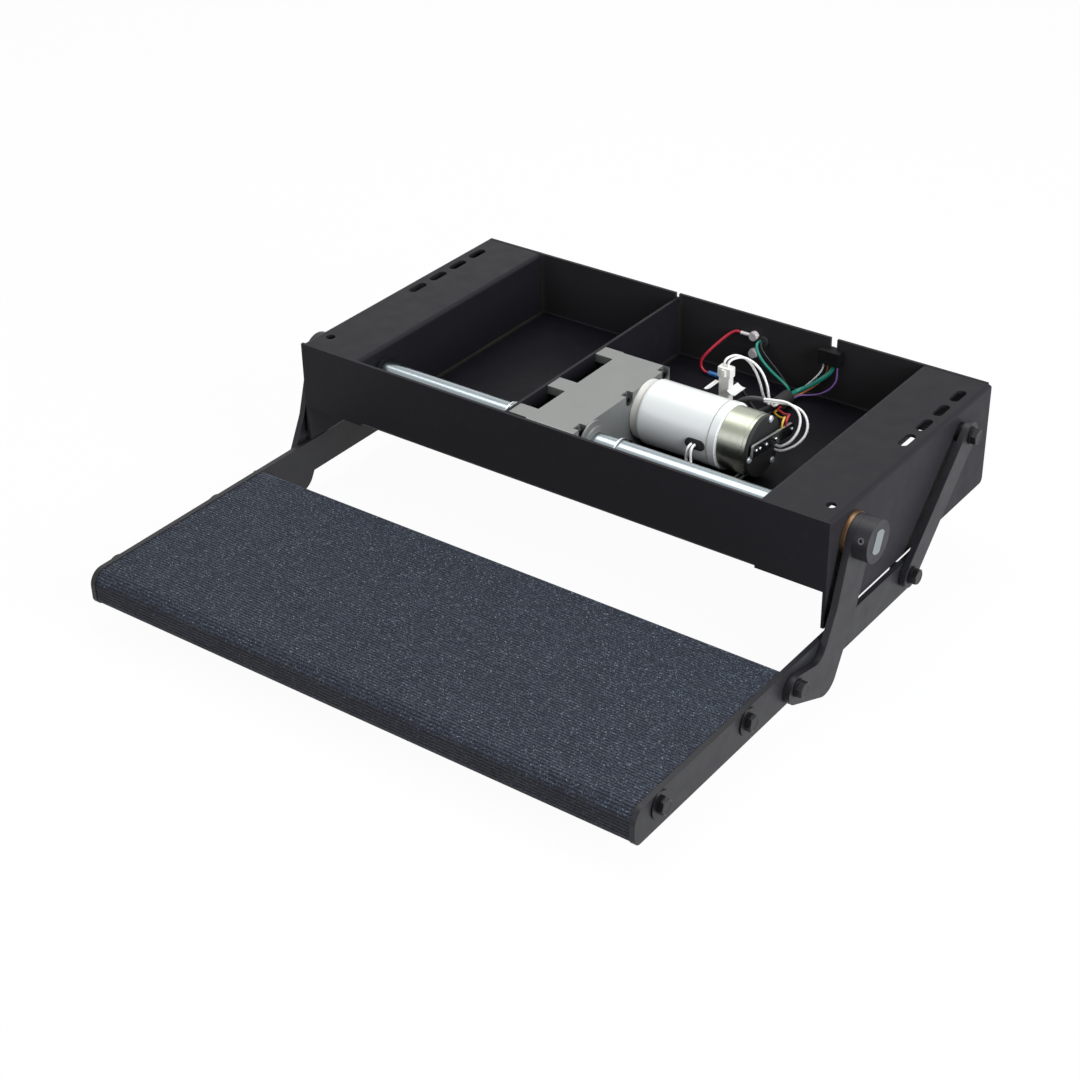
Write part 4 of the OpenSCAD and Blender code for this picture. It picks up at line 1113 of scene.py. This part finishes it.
class Motor(Group):
    """White motor can, plated end section, end cap and terminal strip."""

    skins = (
        Skin("motor_can", WHITE_ENAMEL, 0.0003),
        Skin("motor_flange", GREY_ENAMEL, 0.0006),
        Skin("plated_section", PLATED, 0.0003),
        Skin("motor_end_cap", BLACK_PLASTIC, 0.0003),
        Skin("cap_screws", CAP_ZINC_LIT, 0.0001),
        Skin("terminal_board", PHENOLIC_FACE, 0.0003),
        Skin("board_rivets", ZINC_SMALL, 0.0001),
        Skin("lead_grommet", BLACK_RUBBER, 0.0003),
    )
    # Points nearer than this belong to one cap screw, whose head is drawn wider than the solid's.
    screw_reach: ClassVar[float] = 0.008
    screw_growth: ClassVar[float] = 1.28

    def dress(self, bench: Bench) -> dict[str, bpy.types.Object]:
        """Finishes the motor, with wider screw heads and a pale edge round the board that also carries a
        painted highlight.

        Args:
            bench: Where pieces are made.

        Returns:
            The pieces by the names of their nodes.
        """
        made = super().dress(bench)
        bench.widen_heads(made["cap_screws"], self.screw_reach, self.screw_growth)
        bench.second_finish(made["terminal_board"], PHENOLIC_EDGE_HIGHLIGHT, lambda face: abs(face.normal.x) < FACING)
        return made


@dataclass(frozen=True)
class WireRun:
    """One wire that takes a CAD node's place."""

    name: str
    node: str
    finish: Finish
    # Radius and route in millimetres.
    radius: float
    route: tuple[Point, ...]


WIRES: tuple[WireRun, ...] = (
    WireRun("motor_lead_a", "motor_leads", WIRE_WHITE, 1.2, (
        (90, 68.5, -31.5), (90, 65.5, -31.5), (89.8, 62.2, -33), (89.4, 60.8, -37), (89, 60.6, -44),
        (90, 60, -52), (95, 58.8, -58.6), (104, 58.5, -61.3), (113, 60.5, -61.6), (121, 67, -61.6),
        (125, 80, -61.6), (126, 99, -61.6), (123, 123, -61.6), (113, 144, -61.6), (96, 158, -61.4),
        (78, 167, -61.2), (64, 171.5, -60), (58, 173.5, -56), (57, 174, -53), (57, 174, -50))),
    WireRun("motor_lead_b", "motor_leads", WIRE_WHITE, 1.2, (
        (93.5, 68.5, -31.5), (93.5, 65, -31.5), (93.8, 61.4, -33), (94.4, 59.4, -37), (95.4, 58.4, -44),
        (98.2, 56.6, -52), (104, 54.2, -58.6), (112.5, 53.5, -61.3), (121, 56.5, -61.6),
        (127.5, 64, -61.6), (130.5, 78, -61.6), (131, 99, -61.6), (128, 127, -61.6), (117, 149, -61.6),
        (99, 163.5, -61.4), (81, 172.5, -61.2), (68, 176.5, -60), (62.5, 175, -56.4), (61, 174, -53),
        (61, 174, -50))),
    WireRun("plug_lead_a", "plug_leads", WIRE_WHITE, 1.2, (
        (57, 174, -10.5), (57, 174, -6.5), (58.5, 177, -3), (63, 184, -2.2), (71, 189, -6),
        (79, 190, -14), (86, 189, -25), (90, 189, -37), (91, 195, -47.5), (90.8, 203, -52.2),
        (90.8, 210, -52.2))),
    WireRun("plug_lead_b", "plug_leads", WIRE_WHITE, 1.2, (
        (61, 174, -10.5), (61, 174, -6.5), (63.5, 177, -3), (70, 184, -2.2), (79, 188, -6.5),
        (88, 188.5, -14), (95, 187, -25), (97.5, 187, -37), (97, 194, -47.5), (95.5, 203, -52.5),
        (95.5, 210, -52.5))),
    WireRun("earth_lead", "earth_leads", WIRE_TEAL, 1.5, (
        (46, 256, -23), (46, 250, -23), (49, 245.5, -27.5), (56, 244, -35.5), (66, 244.5, -44),
        (77, 244.5, -50.5), (86, 241.5, -54), (90, 236, -54), (90, 230, -54))),
    WireRun("wall_lead", "earth_leads", WIRE_BLACK, 0.8, (
        (50, 256, -22), (50, 250.5, -22), (54, 247.5, -27), (62, 248, -36), (71, 249, -45),
        (79.5, 248, -53), (86, 243, -57.5), (88.5, 236.5, -57.5), (88.5, 230, -57.5))),
    WireRun("loom_cable_run", "loom_cable", WIRE_TEAL, 2.2, (
        (125, 254.5, -23.5), (125, 254.5, -28), (121.5, 252.4, -34), (114.5, 249.2, -41),
        (107, 247, -47.6), (100.5, 244.6, -51.8), (96.6, 240.5, -53.7), (95.5, 235.5, -54),
        (95.5, 230, -54))),
    WireRun("red_lead_run", "red_lead", WIRE_RED, 1.4, (
        (24, 257.1, -20), (18.5, 257.1, -20), (12.5, 254.6, -23.6), (6, 248.6, -30.6), (-0.5, 241.5, -39),
        (-5.8, 237, -47.5), (-7, 236, -54), (-5.2, 236, -58), (-1.8, 236, -60.6), (2, 236, -60.6))),
    WireRun("return_lead_run", "return_lead", WIRE_BLACK, 1.2, (
        (20, 236, -60.6), (26, 236, -60.6), (34, 233, -61), (47, 225, -61.5), (60, 214, -61.6),
        (71, 204, -61.6), (80.5, 198, -61.5), (88, 198.5, -61.4), (91.5, 203.5, -61.3),
        (91.5, 210, -61.3))),
    WireRun("sleeved_cable_run", "sleeved_cable", WIRE_BLACK, 2.6, (
        (89, 210, -56.8), (89, 202, -56.8), (86.5, 191, -56), (84, 178, -54.5), (83, 165, -51),
        (84, 153, -42), (88, 144.5, -30), (95, 140.5, -20.5), (105, 141.5, -15), (117, 144, -14))),
    WireRun("cap_lead_a", "cap_leads", WIRE_WHITE, 1.2, (
        (117, 143.5, -12.75), (126.6, 145.5, -11.95), (138, 148, -12), (149, 147, -15.5),
        (156, 141.5, -21), (158.5, 133.5, -28), (156.5, 125.5, -34.5), (151.5, 120.5, -38.5),
        (148.5, 119.5, -39.5), (144.5, 119.5, -39.5))),
    WireRun("cap_lead_b", "cap_leads", WIRE_WHITE, 1.2, (
        (117, 144.5, -15.25), (126.6, 146.5, -14.45), (140, 150.5, -14.5), (152.5, 150.5, -17.5),
        (161.5, 145, -24), (164.5, 136.5, -31.5), (161, 127.5, -38), (154, 120.5, -42),
        (149, 118.5, -43.2), (144.5, 118.5, -43.2))),
    WireRun("red_board_lead", "board_leads", WIRE_RED, 1, (
        (97.5, 210, -56.5), (97.5, 204, -56.5), (106, 196, -53), (116, 182, -45), (127, 167.5, -36),
        (138, 152.5, -26), (145.5, 140.5, -18.6), (148.2, 133, -16.9), (148.7, 129.4, -19.2),
        (148.7, 129, -23.5))),
    WireRun("yellow_board_lead", "board_leads", WIRE_YELLOW, 1, (
        (95, 210, -60), (95, 203, -60), (103.5, 193, -56), (113.5, 179, -48), (124.5, 164.5, -39),
        (135.5, 149.5, -29), (143.5, 136.5, -19.8), (147.5, 127, -16.4), (148.7, 122.6, -18.6),
        (148.7, 122, -23))),
    WireRun("white_signal", "signal_leads", WIRE_WHITE, 0.8, (
        (115, 254, -23.5), (115, 254, -29.5), (111.5, 253, -37), (106.5, 252, -44), (100.5, 250, -51),
        (95, 245.5, -57), (92.5, 238.5, -58.5), (92.5, 230, -58.5))),
    WireRun("orange_signal", "signal_leads", WIRE_ORANGE, 0.8, (
        (119, 256, -23.5), (119, 256, -30), (116.5, 256, -38), (112, 255.5, -46), (105.5, 253.5, -53),
        (99, 248, -58), (95.5, 239.5, -59), (95.5, 230, -59))),
    WireRun("purple_signal", "signal_leads", WIRE_PURPLE, 0.8, (
        (130, 254, -23.5), (130, 254, -30), (130.5, 252, -38), (126.5, 249, -46), (118.5, 247, -52.5),
        (109, 245.5, -56.5), (101, 242, -57.5), (98, 236, -57.5), (98, 230, -57.5))),
)


@dataclass(frozen=True)
class Tag:
    """Blank paper tag: a strip along Y that sags a little and is held by one long edge."""

    name: str
    # Held edge and free edge as [x, z], and where the strip starts and ends.
    held: tuple[float, float]
    free: tuple[float, float]
    span: tuple[float, float]
    sag: float = 0.0012
    thickness: float = 0.0003
    steps: int = 8

    def mesh(self) -> bpy.types.Mesh:
        """Draws the strip as two skins with a rim.

        Returns:
            Its mesh.
        """
        work = bmesh.new()
        rows = []
        for i in range(self.steps + 1):
            t = i / self.steps
            x = self.held[0] + t * (self.free[0] - self.held[0])
            z = self.held[1] + t * (self.free[1] - self.held[1]) - self.sag * math.sin(math.pi * t)
            rows.append([work.verts.new((x, y, z)) for y in self.span])
        for a, b in zip(rows, rows[1:]):
            work.faces.new((a[0], a[1], b[1], b[0]))
        bmesh.ops.recalc_face_normals(work, faces=work.faces[:])
        bmesh.ops.solidify(work, geom=work.faces[:], thickness=self.thickness)
        made = bpy.data.meshes.new(self.name)
        work.to_mesh(made)
        work.free()
        return made


TAGS: tuple[Tag, ...] = (
    Tag("left_tag", (0.0533, -0.0265), (0.0462, -0.0290), (0.1565, 0.1765)),
    Tag("right_tag", (0.0647, -0.0300), (0.0735, -0.0330), (0.1660, 0.1850)),
)


class Wiring(Group):
    """Wires, connectors and small electrical parts in the right-hand bay."""

    skins = (
        Skin("plug_upper", NYLON, 0.0005),
        Skin("plug_lower", NYLON, 0.0005),
        Skin("loom_connector", MATT_PLASTIC, 0.0005),
        Skin("loom_wrap", BLACK_PLASTIC, 0.0010),
        Skin("wall_grommet", BLACK_RUBBER, 0.0005),
        Skin("earth_screws", TINNED, 0.0004),
        Skin("ring_lug", TINNED, 0.0002),
        Skin("crimp_splice", BLUE_NYLON, 0.0006),
    )

    def build(self, bench: Bench, grower: Grower) -> None:
        """Grows every wire along its route and hangs the tags on them.

        Args:
            bench: Where pieces are made.
            grower: Geometry-node trees.
        """
        for run in WIRES:
            route = [(x / MM, y / MM, z / MM) for x, y, z in run.route]
            mesh = grower.wire(run.name, route, run.radius / MM, run.finish)
            piece = bench.place(run.name, mesh, Body.HOUSING.value, run.finish)
            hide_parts(run.node)
        for tag in TAGS:
            bench.place(tag.name, tag.mesh(), Body.HOUSING.value, TAG_PAPER)


@dataclass(frozen=True)
class BoltSet:
    """Equal hex bolts on both sides of the step, which take a CAD node's place."""

    name: str
    node: str
    body: Body
    # Where the heads sit to each side in X, the length of the shank, and the places as [y, z].
    seat: float
    length: float
    places: tuple[tuple[float, float], ...]
    # Seed for how each bolt is turned.
    seed: int


class BoltedGroup(Group):
    """A sub-assembly with hex bolts of its own."""

    bolt_sets: ClassVar[tuple[BoltSet, ...]] = ()

    def build(self, bench: Bench, grower: Grower) -> None:
        """Grows the group's bolts.

        Args:
            bench: Where pieces are made.
            grower: Geometry-node trees.
        """
        for bolts in self.bolt_sets:
            spots = [((side * bolts.seat, *place), side) for side in (1, -1) for place in bolts.places]
            mesh = grower.fasteners(bolts.name, HexBolt(bolts.length).mesh(), spots, BLACK_STEEL, bolts.seed)
            piece = bench.place(bolts.name, mesh, bolts.body.value, BLACK_STEEL)
            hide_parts(bolts.node)


class Linkage(BoltedGroup):
    """Rear links with their upper pivots."""

    skins = (
        Skin("left_rear_link", ARM_COAT, 0.0007),
        Skin("right_rear_link", ARM_COAT, 0.0007),
        Skin("link_spacers", ARM_COAT, 0.0003),
        Skin("link_washers", BLACK_STEEL, 0.0003),
        Skin("link_nuts", BLACK_STEEL, 0.0004),
    )
    bolt_sets = (
        BoltSet("link_bolt_set", "link_bolts", Body.HOUSING, 0.2927, 0.0242, ((0.204, -0.0225),), seed=3),
    )


class Tread(BoltedGroup):
    """Ribbed tread board between its two arms, with all the bolts that move with it."""

    skins = (
        Skin("left_tread_arm", ARM_COAT, 0.0009),
        Skin("right_tread_arm", ARM_COAT, 0.0009),
        Skin("tread_washers", BLACK_STEEL, 0.0003),
        Skin("pivot_nuts", BLACK_STEEL, 0.0004),
    )
    bolt_sets = (
        BoltSet(
            "tread_bolt_set", "tread_bolts", Body.TREAD, 0.2859, 0.0266, ((-0.275, -0.116), (-0.151, -0.116)),
            seed=11,
        ),
        BoltSet(
            "pivot_bolt_set", "pivot_bolts", Body.TREAD, 0.2927, 0.0219, ((-0.084, -0.121), (0.109, -0.1165)),
            seed=7,
        ),
    )

    def dress(self, bench: Bench) -> dict[str, bpy.types.Object]:
        """Coats the board and finishes its arms, washers and nuts.

        Args:
            bench: Where pieces are made.

        Returns:
            The pieces by the names of their nodes.
        """
        bench.paint("tread_board", TREAD_COAT)
        return super().dress(bench)


@dataclass(frozen=True)
class PhotoCamera:
    """Camera that stands where the photo was taken from, worked out from the housing's corners."""

    azimuth: float = 36.78
    elevation: float = 32.15
    roll: float = -1.14
    # Focal length over the width of the picture, and the sensor's width in millimetres.
    focal_share: float = 2133.46 / 1080.0
    sensor: float = 36.0
    # Front plate's face to the camera, along the picture's right, up and towards the viewer.
    offset: Point = (0.00433, 0.09733, -1.83524)
    # Origin of that measure in the part's frame.
    datum: Point = (0.0, -0.026, 0.0)
    # Nothing nearer than this is drawn.
    near: float = 0.05

    def build(self) -> None:
        """Makes the camera and hands it to the scene."""
        a, e, r = (math.radians(v) for v in (self.azimuth, self.elevation, self.roll))
        back = Vector((math.sin(a) * math.cos(e), -math.cos(a) * math.cos(e), math.sin(e)))
        level = Vector((math.cos(a), math.sin(a), 0.0))
        rise = back.cross(level)
        right = math.cos(r) * level + math.sin(r) * rise
        up = -math.sin(r) * level + math.cos(r) * rise
        turn = Matrix((right, up, back))
        spot = -(turn.transposed() @ Vector(self.offset)) + Vector(self.datum)
        data = bpy.data.cameras.new("photo_camera")
        data.sensor_width = self.sensor
        data.lens = self.focal_share * self.sensor
        data.clip_start = self.near
        camera = put("photo_camera", data)
        camera.matrix_world = Matrix.Translation(spot) @ turn.transposed().to_4x4()
        bpy.context.scene.camera = camera


@dataclass(frozen=True)
class Softbox:
    """A square studio light aimed at the step."""

    name: str
    spot: Point
    size: float
    watts: float
    colour: str = "#ffffff"


@dataclass(frozen=True)
class Studio:
    """White studio: pale floor, softboxes and a camera."""

    floor_z: float
    floor_half: float = 9.0
    paper: str = "#ececec"
    # Share of plain white in the floor for the rays that see the backdrop, so that its shadow stays faint.
    floor_white: float = 0.96
    world_grey: float = 0.24
    aim: Point = (0.0, -0.02, -0.06)
    boxes: tuple[Softbox, ...] = (
        Softbox("key_right", (2.2, -0.2, 0.9), 1.4, 67.0, "#f3f6ff"),
        Softbox("overhead", (-0.55, 0.5, 2.2), 1.8, 35.0),
        Softbox("rim_back", (-1.5, 2.0, 0.95), 1.2, 2.2, "#f4f8ff"),
        Softbox("fill_front", (-0.9, -2.3, 1.1), 1.4, 10.5, "#f4f0ff"),
    )

    def build(self) -> None:
        """Makes floor, lights, world and camera."""
        bpy.context.scene.view_settings.view_transform = "Standard"
        self._floor()
        self._world()
        for box in self.boxes:
            self._light(box)
        PhotoCamera().build()

    @staticmethod
    def _backdrop_share(tree: Tree) -> Socket:
        """Tells which rays see the white backdrop: those of the camera, of gloss and through clear parts.

        Args:
            tree: Tree of the floor or the world.

        Returns:
            A value socket, one for those rays and zero for the rest.
        """
        rays = add_node(tree, "ShaderNodeLightPath").outputs
        seen = add_math(tree, "MAXIMUM", rays["Is Camera Ray"], rays["Is Glossy Ray"])
        return add_math(tree, "MAXIMUM", seen, rays["Is Transmission Ray"])

    def _floor(self) -> None:
        """Lays a wide white floor that shows only a faint shadow."""
        h, z = self.floor_half, self.floor_z
        mesh = bpy.data.meshes.new("floor")
        mesh.from_pydata([(-h, -h, z), (h, -h, z), (h, h, z), (-h, h, z)], [], [(0, 1, 2, 3)])
        floor = put("floor", mesh)
        paper = bpy.data.materials.new("white_studio_paper")
        paper.use_nodes = True
        tree = paper.node_tree
        tree.nodes.clear()
        share = add_math(tree, "MULTIPLY", self._backdrop_share(tree), self.floor_white)
        matt = add_node(tree, "ShaderNodeBsdfDiffuse", {"Color": linear(self.paper)})
        white = add_node(tree, "ShaderNodeEmission", {"Color": WHITE, "Strength": 1.0})
        mix = add_node(
            tree, "ShaderNodeMixShader", {"Fac": share, 1: matt.outputs["BSDF"], 2: white.outputs["Emission"]}
        )
        add_node(tree, "ShaderNodeOutputMaterial", {"Surface": mix.outputs["Shader"]})
        mesh.materials.append(paper)
        floor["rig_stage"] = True

    def _world(self) -> None:
        """Makes soft grey surroundings that the camera and glossy surfaces see as white."""
        world = bpy.data.worlds.new("white_studio")
        bpy.context.scene.world = world
        world.use_nodes = True
        tree = world.node_tree
        tree.nodes.clear()
        room, white = (
            add_node(tree, "ShaderNodeBackground", {"Color": WHITE, "Strength": strength})
            for strength in (self.world_grey, 1.0)
        )
        seen = self._backdrop_share(tree)
        mix = add_node(
            tree,
            "ShaderNodeMixShader",
            {"Fac": seen, 1: room.outputs["Background"], 2: white.outputs["Background"]},
        )
        add_node(tree, "ShaderNodeOutputWorld", {"Surface": mix.outputs["Shader"]})

    def _light(self, box: Softbox) -> None:
        """Hangs one softbox.

        Args:
            box: Its place, size and power.
        """
        data = bpy.data.lights.new(box.name, "AREA")
        data.shape = "SQUARE"
        data.size = box.size
        data.energy = box.watts
        data.color = linear(box.colour)[:3]
        light = put(box.name, data)
        light.location = box.spot
        light.rotation_euler = (Vector(self.aim) - Vector(box.spot)).to_track_quat("-Z", "Y").to_euler()


def main() -> None:
    """Builds the whole scene in order and reports what was made."""
    logging.basicConfig(level=logging.INFO, format="%(name)s: %(message)s")
    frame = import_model()
    cad_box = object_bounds()
    bench = Bench(frame)
    grower = Grower()
    wiring, linkage, tread = Wiring(), Linkage(), Tread()
    for group in (HousingShell(), DriveShaft(), GearCase(), Motor(), wiring, linkage, tread):
        group.dress(bench)
        LOG.info("dressed %s", type(group).__name__)
    for group in (wiring, linkage, tread):
        group.build(bench, grower)
        LOG.info("grew %s", type(group).__name__)
    Studio(floor_z=cad_box[0].z - FLOOR_GAP).build()
    LOG.info("made %d pieces", bench.count)


if __name__ == "__main__":
    main()
